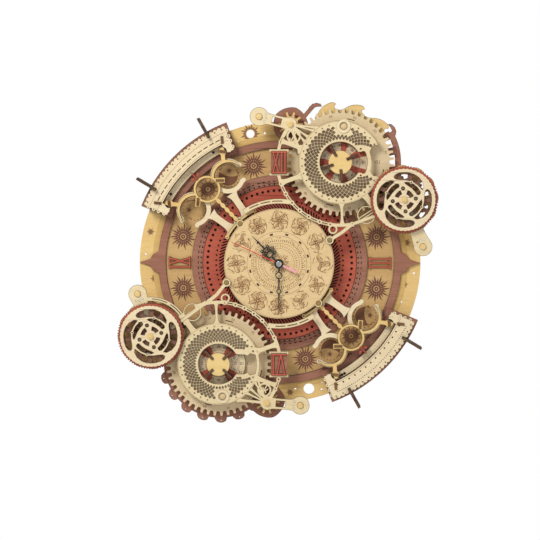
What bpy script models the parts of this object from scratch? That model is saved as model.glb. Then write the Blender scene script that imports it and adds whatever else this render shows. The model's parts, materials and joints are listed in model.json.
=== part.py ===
"""Round plywood wall clock with two geared calendar clusters.

The wall is the plane y = 0 and the dial faces -Y. Depths are measured from the
wall towards the viewer, so a depth d lies at y = -d. Metres, +Z up.
"""

from math import acos, ceil, cos, degrees, hypot, radians, sin

import bpy

# Stock and fits
PLY = 0.0030  # thickness of a structural plate
VENEER = 0.0020  # thickness of a facing plate
AIR = 0.0003  # gap between neighbours
BITE = 0.0010  # how far a cutter runs past the faces it cuts
CHORD = 0.0075  # length of one flat on a large curve

# Back plate and its facings
BASE_RADIUS = 0.1692
OUTER_RING_IN = 0.1374
OUTER_RING_OUT = 0.1464
SPIKE_LOBE_RADIUS = 0.0108
SPIKE_HALF_WIDTH = 0.0048
INNER_BAND_WIDTH = 0.0129
RED_RING_IN = 0.0606
RED_RING_OUT = 0.0924
STAR_HOLE = (-0.0352, 0.1547, 0.0048)  # x, z, radius
MOON_HOLE = (0.0355, -0.1530, 0.0065)
HANG_HOLE = (0.0, 0.1180, 0.0048)
HANG_SLOT_WIDTH = 0.0046
HANG_SLOT_TOP = 0.1290

# Dial, movement and hands
DIAL_RADIUS = 0.0660
DIAL_EAR_RADIUS = 0.0048
DIAL_EAR_OFFSET = 0.0006  # ear centres stand this far outside the dial's edge
DIAL_EAR_ANGLES = (134.3, 25.2, 199.8, -45.1)
POST_RADIUS = 0.0035
COLLAR_RADIUS = 0.0050
CASE_SIDE = 0.0560
CASE_DEPTH = 0.0159
CASE_WALL = 0.0009
CASE_GAP = 0.0005
BATTERY_RADIUS = 0.00705
BATTERY_LENGTH = 0.0490
BATTERY_OFFSET = 0.0150  # below the hands' shaft
BUSH_RADIUS = 0.0039
NUT_RADIUS = 0.0062
NUT_HEIGHT = 0.0012
SPINDLE_RADIUS = 0.0012
HAND_THICKNESS = 0.0008
HAND_PITCH = 0.0015  # from one hand's back to the next one's back
HAND_HUB_RADIUS = 0.0045
HOUR_TIP_GAP = 0.0196  # from each hand's tip to the dial's edge
MINUTE_TIP_GAP = 0.0043
SECOND_TIP_GAP = 0.0036
SECOND_TAIL = 0.0233
HOUR_ANGLE = 134.0
MINUTE_ANGLE = -90.0
SECOND_ANGLE = 155.4
SET_KNOB_RADIUS = 0.0055
SET_KNOB_HEIGHT = 0.0014
SET_KNOB_PLACE = (0.0120, 0.0140)

# Gear train of a cluster
CLUSTER_X = 0.0726
CLUSTER_Z = 0.1206
MODULE = 0.002575
MONTH_TEETH = 48
KNOB_TEETH = 20
IDLER_TEETH = 10
ADDENDUM = 0.85  # tooth height outside the pitch circle, in modules
DEDENDUM = 1.25
TOOTH_SHARE = 0.385  # tooth width at the pitch circle, as a share of the pitch
AXLE_RADIUS = 0.0040
PIN_RADIUS = 0.0025
PIN_HEAD_RADIUS = 0.0036
PIN_HEAD_HEIGHT = 0.0018
DATE_WHEEL_RADIUS = 0.0324
DATE_HUB_RADIUS = 0.0080
DATE_CAP_RADIUS = 0.0139
FIN_REACH = 0.0228
FIN_COUNT = 4

# Cluster covers
WINDOW_RADIUS = 0.0244
COVER_DISC_RADIUS = 0.0500
WINDOW_HALF_HEIGHT = 0.0120
BAND_CLEAR = 0.0083  # from the month gear's tips to the frame band
BAND_WIDTH = 0.0042
HUG_WEB_ANGLE = 84.0  # where a web ties the dial-hugging arc to the frame band
EAR_RADIUS = 0.0109
ARM_WIDTH = 0.0090
KNOB_BOSS_WALL = 0.0055
IDLER_BOSS_RADIUS = 0.0080
NUMERAL_WIDTH = 0.0150
NUMERAL_HEIGHT = 0.0260
NUMERAL_MARGIN = 0.0030
STROKE = 0.0019
NUMERAL_RADIUS = 0.1206

# Knobs
STAR_RADIUS = 0.0420
STAR_DEPTH = 0.0032
STAR_LOBES = 12
KNOB_HUB_RADIUS = 0.0080
KNOB_RING_RADIUS = 0.0402
KNOB_FACE_RADIUS = 0.0372
KNOB_RIM = 0.0048
KNOB_STRUT = 0.0040

# Cog, hook, arc and moon plates
COG_HUB_RADIUS = 0.0300
COG_BAND_IN = 0.0540
COG_BAND_OUT = 0.0690
COG_TIP = 0.0735
COG_PITCH = 16.36
HOOK_TIP = 0.0720
HOOK_ROOT = 0.0640
LOBE_RADIUS = 0.0210
ARC_BACK_IN = 0.1400
ARC_BACK_OUT = 0.1800
ARC_TIER_IN = 0.1488
ARC_TIER_OUT = 0.1572
ARC_SCALE_OUT = 0.1770
ARC_HALF_SPAN = 23.5
ARC_PAD_SPAN = 4.0
ARC_ANGLE = 134.2
STICK_IN = 0.1716
STICK_OUT = 0.1980
STICK_DEPTH = 0.0150
STICK_SPREAD = 15.0
SUN_RADIUS = 0.1236
SUN_RING_IN = 0.0133
SUN_RING_OUT = 0.0161
MOON_RADIUS = 0.1212
MOON_SPREAD = 13.65
MOON_RING_IN = 0.0156
MOON_RING_OUT = 0.0211
CRESCENT_WIDTH = 0.0032
LEG_WIDTH = 0.0075
CLIP_CLEAR = 0.0015
CLIP_WIDTH = 0.0050

# Depths of the layers, each one stacked on the last
BASE_FRONT = PLY
FACING_BACK = BASE_FRONT + AIR
FACING_FRONT = FACING_BACK + VENEER
COG_BACK = FACING_FRONT + AIR
COG_FRONT = COG_BACK + PLY
HOOK_BACK = COG_FRONT + AIR
HOOK_FRONT = HOOK_BACK + PLY
GEAR_BACK = HOOK_FRONT + AIR
GEAR_FRONT = GEAR_BACK + PLY
DATE_BACK = GEAR_FRONT + AIR
DATE_FRONT = DATE_BACK + PLY
DIAL_BACK = DATE_FRONT + AIR
DIAL_FRONT = DIAL_BACK + PLY
COVER_BACK = DIAL_FRONT + AIR
COVER_FRONT = COVER_BACK + PLY
RING_BACK = COVER_FRONT + AIR
RING_FRONT = RING_BACK + PLY
FACE_BACK = RING_FRONT + AIR
FACE_FRONT = FACE_BACK + PLY
CASE_FRONT = DIAL_BACK - AIR
CASE_BACK = CASE_FRONT - CASE_DEPTH
HAND_BACK = DIAL_FRONT + AIR + NUT_HEIGHT + AIR

WOOD = {
    "cream": (0.80, 0.64, 0.38),
    "pale": (0.84, 0.67, 0.43),
    "honey": (0.76, 0.50, 0.19),
    "mauve": (0.37, 0.17, 0.11),
    "red": (0.50, 0.10, 0.06),
    "taupe": (0.45, 0.33, 0.24),
    "burnt": (0.11, 0.05, 0.02),
}
PAINT = {
    "black": (0.01, 0.01, 0.012, 0.0, 0.35),
    "red_metal": (0.55, 0.03, 0.02, 0.3, 0.35),
    "brass": (0.70, 0.50, 0.20, 1.0, 0.35),
    "case": (0.02, 0.02, 0.022, 0.0, 0.5),
    "cell": (0.25, 0.27, 0.30, 0.6, 0.35),
}


def clear_scene():
    """Remove every object that is already in the scene."""
    for thing in list(bpy.data.objects):
        bpy.data.objects.remove(thing, do_unlink=True)


def finish(name, look):
    """Return a new material for one piece."""
    material = bpy.data.materials.new(name)
    material.use_nodes = True
    shader = material.node_tree.nodes["Principled BSDF"]
    if look in WOOD:
        colour, metallic, roughness = WOOD[look], 0.0, 0.6
    else:
        colour, metallic, roughness = PAINT[look][:3], PAINT[look][3], PAINT[look][4]
    shader.inputs["Base Color"].default_value = (*colour, 1.0)
    shader.inputs["Metallic"].default_value = metallic
    shader.inputs["Roughness"].default_value = roughness
    return material


def polar(radius, degrees, centre=(0.0, 0.0)):
    """Return the point at a radius and an angle about a centre."""
    turn = radians(degrees)
    return (centre[0] + radius * cos(turn), centre[1] + radius * sin(turn))


def flats(radius, sweep=360.0):
    """Return how many flats follow a curve of this radius and sweep."""
    length = radius * radians(sweep)
    return max(ceil(sweep / 20.0), min(ceil(length / CHORD), ceil(sweep / 5.0)))


def circle(radius, centre=(0.0, 0.0)):
    """Return a circle's outline."""
    count = max(12, flats(radius))
    return [polar(radius, 360.0 * i / count, centre) for i in range(count)]


def arc_band(inner, outer, start, end, centre=(0.0, 0.0)):
    """Return the outline of part of a ring."""
    count = flats(outer, end - start)
    steps = [start + (end - start) * i / count for i in range(count + 1)]
    rim = [polar(outer, a, centre) for a in steps]
    bore = [polar(inner, a, centre) for a in reversed(steps)]
    return rim + bore


def bar(start, end, width):
    """Return the outline of a straight bar between two points."""
    run = hypot(end[0] - start[0], end[1] - start[1])
    side = (-(end[1] - start[1]) * width / 2 / run, (end[0] - start[0]) * width / 2 / run)
    return [
        (start[0] - side[0], start[1] - side[1]),
        (end[0] - side[0], end[1] - side[1]),
        (end[0] + side[0], end[1] + side[1]),
        (start[0] + side[0], start[1] + side[1]),
    ]


def box(centre, width, height):
    """Return an upright rectangle's outline."""
    x, z = centre
    return bar((x - width / 2, z), (x + width / 2, z), height)


def keyhole():
    """Return the outline of the hanging hole and the nail's slot above it."""
    x, z, radius = HANG_HOLE
    lift = degrees(acos(HANG_SLOT_WIDTH / 2 / radius))
    sweep = 180.0 + 2 * lift
    points = [polar(radius, 180.0 - lift + sweep * i / 12, (x, z)) for i in range(13)]
    points.append((x + HANG_SLOT_WIDTH / 2, HANG_SLOT_TOP))
    points.append((x - HANG_SLOT_WIDTH / 2, HANG_SLOT_TOP))
    return points


def gear(teeth, phase):
    """Return a gear's outline, with one tooth centred on the phase angle."""
    pitch_radius = MODULE * teeth / 2
    tip = pitch_radius + ADDENDUM * MODULE
    root = pitch_radius - DEDENDUM * MODULE
    pitch = 360.0 / teeth
    half = TOOTH_SHARE * pitch / 2
    points = []
    for i in range(teeth):
        middle = phase + i * pitch
        points.append(polar(root, middle - half * 1.45))
        points.append(polar(tip, middle - half * 0.55))
        points.append(polar(tip, middle + half * 0.55))
        points.append(polar(root, middle + half * 1.45))
    return points


def mesh_phase(teeth, wheel_teeth, wheel_phase, direction):
    """Return the phase that meshes a small gear with a wheel.

    The direction is from the wheel's centre to the small gear's centre.
    """
    pitch = 360.0 / wheel_teeth
    gap = wheel_phase + pitch / 2
    offset = (gap - direction + pitch / 2) % pitch - pitch / 2
    return direction + 180.0 - offset * wheel_teeth / teeth


def prisms(outlines, back, front):
    """Return a mesh of upright prisms, one for each outline."""
    points = []
    faces = []
    for outline in outlines:
        area = sum(a[0] * b[1] - b[0] * a[1] for a, b in zip(outline, outline[1:] + outline[:1]))
        ring = outline if area > 0 else outline[::-1]
        first, count = len(points), len(ring)
        points += [(x, -back, z) for x, z in ring]
        points += [(x, -front, z) for x, z in ring]
        faces.append([first + i for i in reversed(range(count))])
        faces.append([first + count + i for i in range(count)])
        for i in range(count):
            j = (i + 1) % count
            faces.append([first + i, first + j, first + count + j, first + count + i])
    mesh = bpy.data.meshes.new("outline")
    mesh.from_pydata(points, [], faces)
    mesh.shade_smooth()
    mesh.set_sharp_from_angle(angle=radians(35.0))
    return mesh


def place(name, mesh, centre):
    """Put a mesh in the scene under a name, on an axis."""
    thing = bpy.data.objects.new(name, mesh)
    thing.location = (centre[0], 0.0, centre[1])
    bpy.context.scene.collection.objects.link(thing)
    return thing


def combine(thing, tool, operation):
    """Join or cut a piece with a hidden tool object."""
    tool.hide_render = True
    tool.display_type = "WIRE"
    step = thing.modifiers.new(operation.lower(), "BOOLEAN")
    step.operation = operation
    step.solver = "EXACT"
    step.object = tool


def plate(name, look, back, front, shapes, holes=(), centre=(0.0, 0.0)):
    """Make a flat plate from overlapping outlines, less some holes."""
    thing = place(name, prisms(shapes[:1], back, front), centre)
    thing.data.materials.append(finish(name, look))
    for i, shape in enumerate(shapes[1:]):
        combine(thing, place(f"{name}_join_{i}", prisms([shape], back, front), centre), "UNION")
    if holes:
        cutter = prisms(list(holes), back - BITE, front + BITE)
        combine(thing, place(f"{name}_cut", cutter, centre), "DIFFERENCE")
    return thing


def add_layer(thing, back, front, outline):
    """Join one more prism, at its own depths, to a piece."""
    tool = place(f"{thing.name}_layer_{len(thing.modifiers)}", prisms([outline], back, front), (0, 0))
    tool.location = thing.location
    combine(thing, tool, "UNION")


def cut_layer(thing, back, front, outline):
    """Cut one prism, at its own depths, from a piece."""
    tool = place(f"{thing.name}_hole_{len(thing.modifiers)}", prisms([outline], back, front), (0, 0))
    tool.location = thing.location
    combine(thing, tool, "DIFFERENCE")


def turned(name, look, centre, profile):
    """Make a solid turned about an axis along Y, from (depth, radius) pairs."""
    count = max(12, flats(max(radius for _, radius in profile)))
    points = []
    for depth, radius in profile:
        for x, z in [polar(radius, 360.0 * i / count) for i in range(count)]:
            points.append((x, -depth, z))
    faces = [list(reversed(range(count)))]
    faces.append([(len(profile) - 1) * count + i for i in range(count)])
    for level in range(len(profile) - 1):
        for i in range(count):
            j = (i + 1) % count
            low, high = level * count, (level + 1) * count
            faces.append([low + i, low + j, high + j, high + i])
    mesh = bpy.data.meshes.new(name)
    mesh.from_pydata(points, [], faces)
    mesh.shade_smooth()
    mesh.set_sharp_from_angle(angle=radians(35.0))
    thing = place(name, mesh, centre)
    thing.data.materials.append(finish(name, look))
    return thing


def build_base():
    """Make the back plate and the facings on it."""
    opening = box((0.0, 0.0), CASE_SIDE + 2 * CASE_GAP, CASE_SIDE + 2 * CASE_GAP)
    holes = [opening, keyhole()] + [circle(hole[2], hole[:2]) for hole in (STAR_HOLE, MOON_HOLE)]
    plate("back_plate", "honey", 0.0, BASE_FRONT, [circle(BASE_RADIUS)], holes)
    shapes = [circle(OUTER_RING_OUT)]
    for side in (1, -1):
        lobe = side * (OUTER_RING_OUT + 0.2 * SPIKE_LOBE_RADIUS)
        shapes.append(circle(SPIKE_LOBE_RADIUS, (lobe, 0.0)))
        tip = (side * BASE_RADIUS, 0.0)
        shapes.append([(lobe, -SPIKE_HALF_WIDTH), tip, (lobe, SPIKE_HALF_WIDTH)])
    plate("outer_ring", "mauve", FACING_BACK, FACING_FRONT, shapes, [circle(OUTER_RING_IN)])
    band_in = RED_RING_OUT + AIR
    rim = [circle(band_in + INNER_BAND_WIDTH)]
    plate("inner_band", "mauve", FACING_BACK, FACING_FRONT, rim, [circle(band_in)])
    rim = [circle(RED_RING_OUT)]
    plate("red_ring", "red", FACING_BACK, FACING_FRONT, rim, [circle(RED_RING_IN)])


def letter_strokes(text):
    """Return upright strokes for a numeral, centred on the origin."""
    widths = {"I": 0.35, "X": 1.0, "V": 1.0}
    scale = NUMERAL_WIDTH / sum(widths[c] for c in text)
    half = NUMERAL_HEIGHT / 2
    strokes = []
    left = -NUMERAL_WIDTH / 2
    for char in text:
        right = left + widths[char] * scale
        middle = (left + right) / 2
        inset = STROKE / 2
        if char == "I":
            strokes.append(((middle, -half), (middle, half)))
        if char == "X":
            strokes.append(((left + inset, -half), (right - inset, half)))
            strokes.append(((right - inset, -half), (left + inset, half)))
        if char == "V":
            strokes.append(((left + inset, half), (middle, -half)))
            strokes.append(((right - inset, half), (middle, -half)))
        left = right
    edge = half - STROKE / 2
    side = NUMERAL_WIDTH / 2
    strokes.append(((-side, edge), (side, edge)))
    strokes.append(((-side, -edge), (side, -edge)))
    return strokes


def build_numeral(name, text, angle, back):
    """Make one numeral whose top points away from the dial's middle."""
    up = polar(1.0, angle)
    across = (up[1], -up[0])
    centre = polar(NUMERAL_RADIUS, angle)

    def spot(point):
        x = centre[0] + point[0] * across[0] + point[1] * up[0]
        z = centre[1] + point[0] * across[1] + point[1] * up[1]
        return (x, z)

    shapes = [bar(spot(a), spot(b), STROKE) for a, b in letter_strokes(text)]
    plate(name, "red", back, back + VENEER, shapes[::-1])


def build_dial():
    """Make the dial plate, its posts, the movement and the hands."""
    ears = [polar(DIAL_RADIUS + DIAL_EAR_OFFSET, a) for a in DIAL_EAR_ANGLES]
    shapes = [circle(DIAL_RADIUS)] + [circle(DIAL_EAR_RADIUS, ear) for ear in ears]
    plate("dial_plate", "cream", DIAL_BACK, DIAL_FRONT, shapes, [circle(BUSH_RADIUS + AIR)])
    for i, ear in enumerate(ears):
        foot, top = COG_BACK, DIAL_BACK - AIR
        profile = [(foot, COLLAR_RADIUS), (HOOK_FRONT - AIR, COLLAR_RADIUS)]
        profile += [(HOOK_FRONT - AIR, POST_RADIUS), (top, POST_RADIUS)]
        turned(f"dial_post_{i + 1}", "pale", ear, profile)
    build_movement()
    build_hands()


def build_movement():
    """Make the clock movement, its cell and its threaded bush."""
    side = box((0.0, 0.0), CASE_SIDE, CASE_SIDE)
    case = plate("movement_case", "case", CASE_BACK, CASE_FRONT, [side])
    bay = box((0.0, -BATTERY_OFFSET), BATTERY_LENGTH + 4 * AIR, 2 * (BATTERY_RADIUS + AIR))
    cut_layer(case, CASE_BACK - BITE, CASE_FRONT - CASE_WALL, bay)
    profile = [(CASE_FRONT + AIR, BUSH_RADIUS), (DIAL_FRONT + AIR, BUSH_RADIUS)]
    profile += [(DIAL_FRONT + AIR, NUT_RADIUS), (DIAL_FRONT + AIR + NUT_HEIGHT, NUT_RADIUS)]
    spindle_end = HAND_BACK + 2 * HAND_PITCH - AIR
    profile += [(DIAL_FRONT + AIR + NUT_HEIGHT, SPINDLE_RADIUS), (spindle_end, SPINDLE_RADIUS)]
    turned("movement_bush", "brass", (0.0, 0.0), profile)
    cell_depth = CASE_FRONT - CASE_WALL - AIR - BATTERY_RADIUS
    mesh = turned("battery", "cell", (0.0, 0.0), [(0.0, BATTERY_RADIUS), (BATTERY_LENGTH, BATTERY_RADIUS)])
    mesh.rotation_euler = (0.0, 0.0, radians(90.0))
    mesh.location = (-BATTERY_LENGTH / 2, -cell_depth, -BATTERY_OFFSET)
    knob_front = CASE_BACK - AIR
    profile = [(knob_front - SET_KNOB_HEIGHT, SET_KNOB_RADIUS), (knob_front, SET_KNOB_RADIUS)]
    turned("set_knob", "brass", SET_KNOB_PLACE, profile)


def hand(name, look, level, length, width, angle, tail=0.0):
    """Make one pointed hand on the hands' shaft."""
    back = HAND_BACK + level * HAND_PITCH
    tip = polar(length, angle)
    root = polar(-tail, angle)
    across = polar(width / 2, angle + 90.0)
    blade = [
        (root[0] - across[0], root[1] - across[1]),
        (0.75 * tip[0] - across[0], 0.75 * tip[1] - across[1]),
        tip,
        (0.75 * tip[0] + across[0], 0.75 * tip[1] + across[1]),
        (root[0] + across[0], root[1] + across[1]),
    ]
    hole = [circle(SPINDLE_RADIUS + AIR)] if level < 2 else ()
    shapes = [blade, circle(HAND_HUB_RADIUS)]
    return plate(name, look, back, back + HAND_THICKNESS, shapes, hole)


def build_hands():
    """Make the three hands, the hour hand lowest."""
    hour = hand("hour_hand", "black", 0, DIAL_RADIUS - HOUR_TIP_GAP, 0.0022, HOUR_ANGLE)
    add_layer(hour, HAND_BACK, HAND_BACK + HAND_THICKNESS, circle(0.0075, polar(0.0215, HOUR_ANGLE)))
    minute = hand("minute_hand", "black", 1, DIAL_RADIUS - MINUTE_TIP_GAP, 0.0018, MINUTE_ANGLE)
    back = HAND_BACK + HAND_PITCH
    for reach, radius in ((0.0139, 0.0048), (0.0329, 0.0036)):
        add_layer(minute, back, back + HAND_THICKNESS, circle(radius, polar(reach, MINUTE_ANGLE)))
    hand("second_hand", "red_metal", 2, DIAL_RADIUS - SECOND_TIP_GAP, 0.0016, SECOND_ANGLE, SECOND_TAIL)


class Cluster:
    """The places and angles that differ between the two calendar clusters."""

    def __init__(self, tag, side, idler_angle, knob_angle, fin_angle, ears):
        self.tag = tag
        self.side = side
        self.turn = 0.0 if side > 0 else 180.0
        self.centre = (side * CLUSTER_X, side * CLUSTER_Z)
        self.idler_angle = idler_angle
        self.knob_angle = knob_angle
        self.fin_angle = fin_angle
        self.ears = ears
        wheel = MODULE * MONTH_TEETH / 2
        self.idler = polar(wheel + MODULE * IDLER_TEETH / 2, idler_angle, self.centre)
        self.knob = polar(wheel + MODULE * KNOB_TEETH / 2, knob_angle, self.centre)
        self.month_phase = idler_angle + 180.0 / MONTH_TEETH
        self.tip = wheel + ADDENDUM * MODULE

    def at(self, radius, degrees):
        """Return a point about the month gear's centre."""
        return polar(radius, degrees, self.centre)

    def towards(self, point, radius):
        """Return the point at a radius from the centre, in a point's direction."""
        reach = (point[0] - self.centre[0], point[1] - self.centre[1])
        share = radius / hypot(*reach)
        return (self.centre[0] + share * reach[0], self.centre[1] + share * reach[1])


def build_cluster_gears(group):
    """Make a cluster's month gear, date wheel, cap and idler."""
    bore = [circle(AXLE_RADIUS + AIR)]
    wheel = gear(MONTH_TEETH, group.month_phase)
    plate(f"{group.tag}_month_gear", "cream", GEAR_BACK, GEAR_FRONT, [wheel], bore, group.centre)
    rim = [circle(DATE_WHEEL_RADIUS)]
    plate(f"{group.tag}_date_wheel", "taupe", DATE_BACK, DATE_FRONT, rim, bore, group.centre)
    cap_back = DATE_FRONT + AIR
    fins = [circle(DATE_HUB_RADIUS)]
    for i in range(FIN_COUNT // 2):
        angle = group.fin_angle + i * 360.0 / FIN_COUNT
        fins.append(bar(polar(-FIN_REACH, angle), polar(FIN_REACH, angle), PLY))
    cap = plate(f"{group.tag}_date_cap", "honey", cap_back, RING_BACK, fins, (), group.centre)
    add_layer(cap, RING_BACK - AIR, RING_FRONT, circle(DATE_CAP_RADIUS))
    cut_layer(cap, cap_back - BITE, COVER_BACK, circle(AXLE_RADIUS + AIR))
    phase = mesh_phase(IDLER_TEETH, MONTH_TEETH, group.month_phase, group.idler_angle)
    pinion = [gear(IDLER_TEETH, phase)]
    bore = [circle(PIN_RADIUS + AIR)]
    plate(f"{group.tag}_idler_gear", "honey", GEAR_BACK, GEAR_FRONT, pinion, bore, group.idler)


def build_knob(group):
    """Make a cluster's turning knob: pinion and star, toothed ring and face."""
    bore = [circle(PIN_RADIUS + AIR)]
    phase = mesh_phase(KNOB_TEETH, MONTH_TEETH, group.month_phase, group.knob_angle)
    pinion = gear(KNOB_TEETH, phase)
    middle = DATE_FRONT - AIR
    drive = plate(f"{group.tag}_knob_drive", "honey", GEAR_BACK, middle, [pinion], (), group.knob)
    star = []
    for i in range(2 * STAR_LOBES):
        angle = i * 180.0 / STAR_LOBES
        reach = STAR_RADIUS if i % 2 == 0 else STAR_RADIUS - STAR_DEPTH
        star.append(polar(reach, angle - 4.0))
        star.append(polar(reach, angle + 4.0))
    add_layer(drive, DATE_BACK, DATE_FRONT, star)
    add_layer(drive, middle, COVER_FRONT, circle(KNOB_HUB_RADIUS))
    cut_layer(drive, GEAR_BACK - BITE, COVER_FRONT + BITE, bore[0])
    rim = [circle(KNOB_RING_RADIUS)]
    inner = KNOB_FACE_RADIUS - KNOB_RIM
    arms = [bar(polar(-inner - AIR, a), polar(inner + AIR, a), KNOB_STRUT) for a in (45.0, 135.0)]
    ring = plate(f"{group.tag}_knob_ring", "red", RING_BACK, RING_FRONT, rim, [circle(inner)], group.knob)
    for arm in arms:
        add_layer(ring, RING_BACK, RING_FRONT, arm)
    add_layer(ring, RING_BACK, RING_FRONT, circle(KNOB_HUB_RADIUS))
    cut_layer(ring, RING_BACK - BITE, RING_FRONT + BITE, bore[0])
    slots = []
    for i in range(4):
        start = 45.0 + 90.0 * i
        slots.append(arc_band(inner - 0.0078, inner, start + 5.0, start + 85.0))
        slots.append(arc_band(0.0158, 0.0210, start + 14.0, start + 76.0))
    rim = [circle(KNOB_FACE_RADIUS)]
    plate(f"{group.tag}_knob_face", "pale", FACE_BACK, FACE_FRONT, rim, slots + bore, group.knob)


def build_pins(group):
    """Make a cluster's fixed axle and its two headed pins."""
    axle_end = COVER_BACK - AIR
    profile = [(HOOK_BACK, AXLE_RADIUS), (axle_end, AXLE_RADIUS)]
    turned(f"{group.tag}_gear_axle", "honey", group.centre, profile)
    for part, centre, top in (("idler", group.idler, COVER_FRONT), ("knob", group.knob, FACE_FRONT)):
        profile = [(HOOK_BACK, PIN_RADIUS), (top + AIR, PIN_RADIUS)]
        profile += [(top + AIR, PIN_HEAD_RADIUS), (top + AIR + PIN_HEAD_HEIGHT, PIN_HEAD_RADIUS)]
        turned(f"{group.tag}_{part}_pin", "honey", centre, profile)


def build_cog_plate(group):
    """Make the mauve plate that carries a cluster's axle and pins."""
    shapes = [circle(COG_HUB_RADIUS, group.centre)]
    start, end = (10.0, 190.0) if group.side > 0 else (150.0, 325.0)
    band = arc_band(COG_BAND_IN, COG_BAND_OUT, start, end, group.centre)
    shapes.append(band)
    spokes = [start + 8.0, (start + end) / 2, end - 8.0, group.knob_angle, group.idler_angle]
    for angle in spokes[:3]:
        shapes.append(bar(group.centre, group.at(COG_BAND_IN + PLY, angle), 4 * PLY))
    for place_at in (group.knob, group.idler):
        shapes.append(bar(group.centre, place_at, 5 * PLY))
        shapes.append(circle(LOBE_RADIUS, place_at))
    if group.side > 0:
        cogs = (115.0, 33.0)
    else:
        cogs = tuple(184.0 + i * COG_PITCH for i in range(8))
    for angle in cogs:
        shapes.append(bar(group.at(COG_BAND_OUT - PLY, angle), group.at(COG_TIP, angle), 3.2 * PLY))
    plate(f"{group.tag}_cog_plate", "mauve", COG_BACK, COG_FRONT, shapes)


def build_hook_plate(group):
    """Make the honey plate whose three hooks rise behind the month gear."""
    outline = [group.at(COG_HUB_RADIUS, 20.0)]
    for tip in (38.0, 69.0, 98.0):
        outline.append(group.at(HOOK_ROOT, tip - 16.0))
        outline.append(group.at(HOOK_TIP - 0.002, tip - 5.0))
        outline.append(group.at(HOOK_TIP, tip))
        outline.append(group.at(HOOK_ROOT + 0.002, tip + 4.0))
    outline.append(group.at(HOOK_ROOT, 112.0))
    outline.append(group.at(COG_HUB_RADIUS, 118.0))
    shapes = [outline, circle(COG_HUB_RADIUS + PLY, group.centre)]
    bore = [circle(AXLE_RADIUS + AIR, group.centre)]
    plate(f"{group.tag}_hook_plate", "honey", HOOK_BACK, HOOK_FRONT, shapes, bore)


def build_cover(group):
    """Make the pierced cover over a cluster, with its frame band and arms."""
    band_in = group.tip + BAND_CLEAR
    band_out = band_in + BAND_WIDTH
    middle = (band_in + band_out) / 2
    shapes = [circle(COVER_DISC_RADIUS, group.centre)]
    start, end = (150.0, 290.0) if group.side > 0 else (-40.0, 112.0)
    shapes.append(arc_band(band_in, band_out, start, end, group.centre))
    for angle, width in ((197.0, 0.010), (271.0, 0.005), (-50.0, 0.008)):
        inner = group.at(COVER_DISC_RADIUS - PLY, angle + group.turn)
        shapes.append(bar(inner, group.at(middle, angle + group.turn), width))
    shapes.append(bar(group.at(COVER_DISC_RADIUS - PLY, group.idler_angle), group.idler, 0.014))
    shapes.append(circle(IDLER_BOSS_RADIUS, group.idler))
    shapes.append(bar(group.idler, group.ears[0], ARM_WIDTH))
    shapes.append(circle(EAR_RADIUS, group.ears[0]))
    shapes.append(bar(group.knob, group.ears[1], ARM_WIDTH))
    shapes.append(circle(EAR_RADIUS, group.ears[1]))
    shapes.append(circle(KNOB_HUB_RADIUS + AIR + KNOB_BOSS_WALL, group.knob))
    shapes.append(bar(group.at(middle, -50.0 + group.turn), group.knob, ARM_WIDTH))
    shapes.append(arc_band(band_in, band_out, -72.0 + group.turn, -48.0 + group.turn, group.centre))
    numeral_at = polar(NUMERAL_RADIUS, 90.0 * group.side)
    width, height = NUMERAL_WIDTH + 2 * NUMERAL_MARGIN, NUMERAL_HEIGHT + 2 * NUMERAL_MARGIN
    shapes.append(box(numeral_at, width, height))
    dial_ear = polar(DIAL_RADIUS + DIAL_EAR_OFFSET, 25.2 if group.side > 0 else 199.8)
    shapes.append(bar(group.at(middle, -95.0 + group.turn), dial_ear, 0.005))
    shapes.append(circle(DIAL_EAR_RADIUS, dial_ear))
    hug = DIAL_RADIUS + 2 * PLY
    shapes.append(arc_band(hug, hug + BAND_WIDTH, 70.0 + group.turn, 122.0 + group.turn))
    web = polar(hug + BAND_WIDTH / 2, HUG_WEB_ANGLE + group.turn)
    shapes.append(bar(web, group.towards(web, middle), BAND_WIDTH))
    holes = [circle(WINDOW_RADIUS, group.centre)]
    holes.append(circle(KNOB_HUB_RADIUS + AIR, group.knob))
    holes.append(circle(PIN_RADIUS + AIR, group.idler))
    cover = plate(f"{group.tag}_cover", "cream", COVER_BACK, COVER_FRONT, shapes, holes)
    reach = DATE_WHEEL_RADIUS if group.side > 0 else COVER_DISC_RADIUS - PLY
    start = (group.centre[0] + 0.020, group.centre[1])
    end = (group.centre[0] + reach, group.centre[1])
    window = bar(start, end, 2 * WINDOW_HALF_HEIGHT)
    cut_layer(cover, COVER_BACK - BITE, COVER_FRONT + BITE, window)
    if group.side > 0:
        gap = arc_band(0.038, COVER_DISC_RADIUS + PLY, -20.0, 25.0, group.centre)
        cut_layer(cover, COVER_BACK - BITE, COVER_FRONT + BITE, gap)


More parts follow.
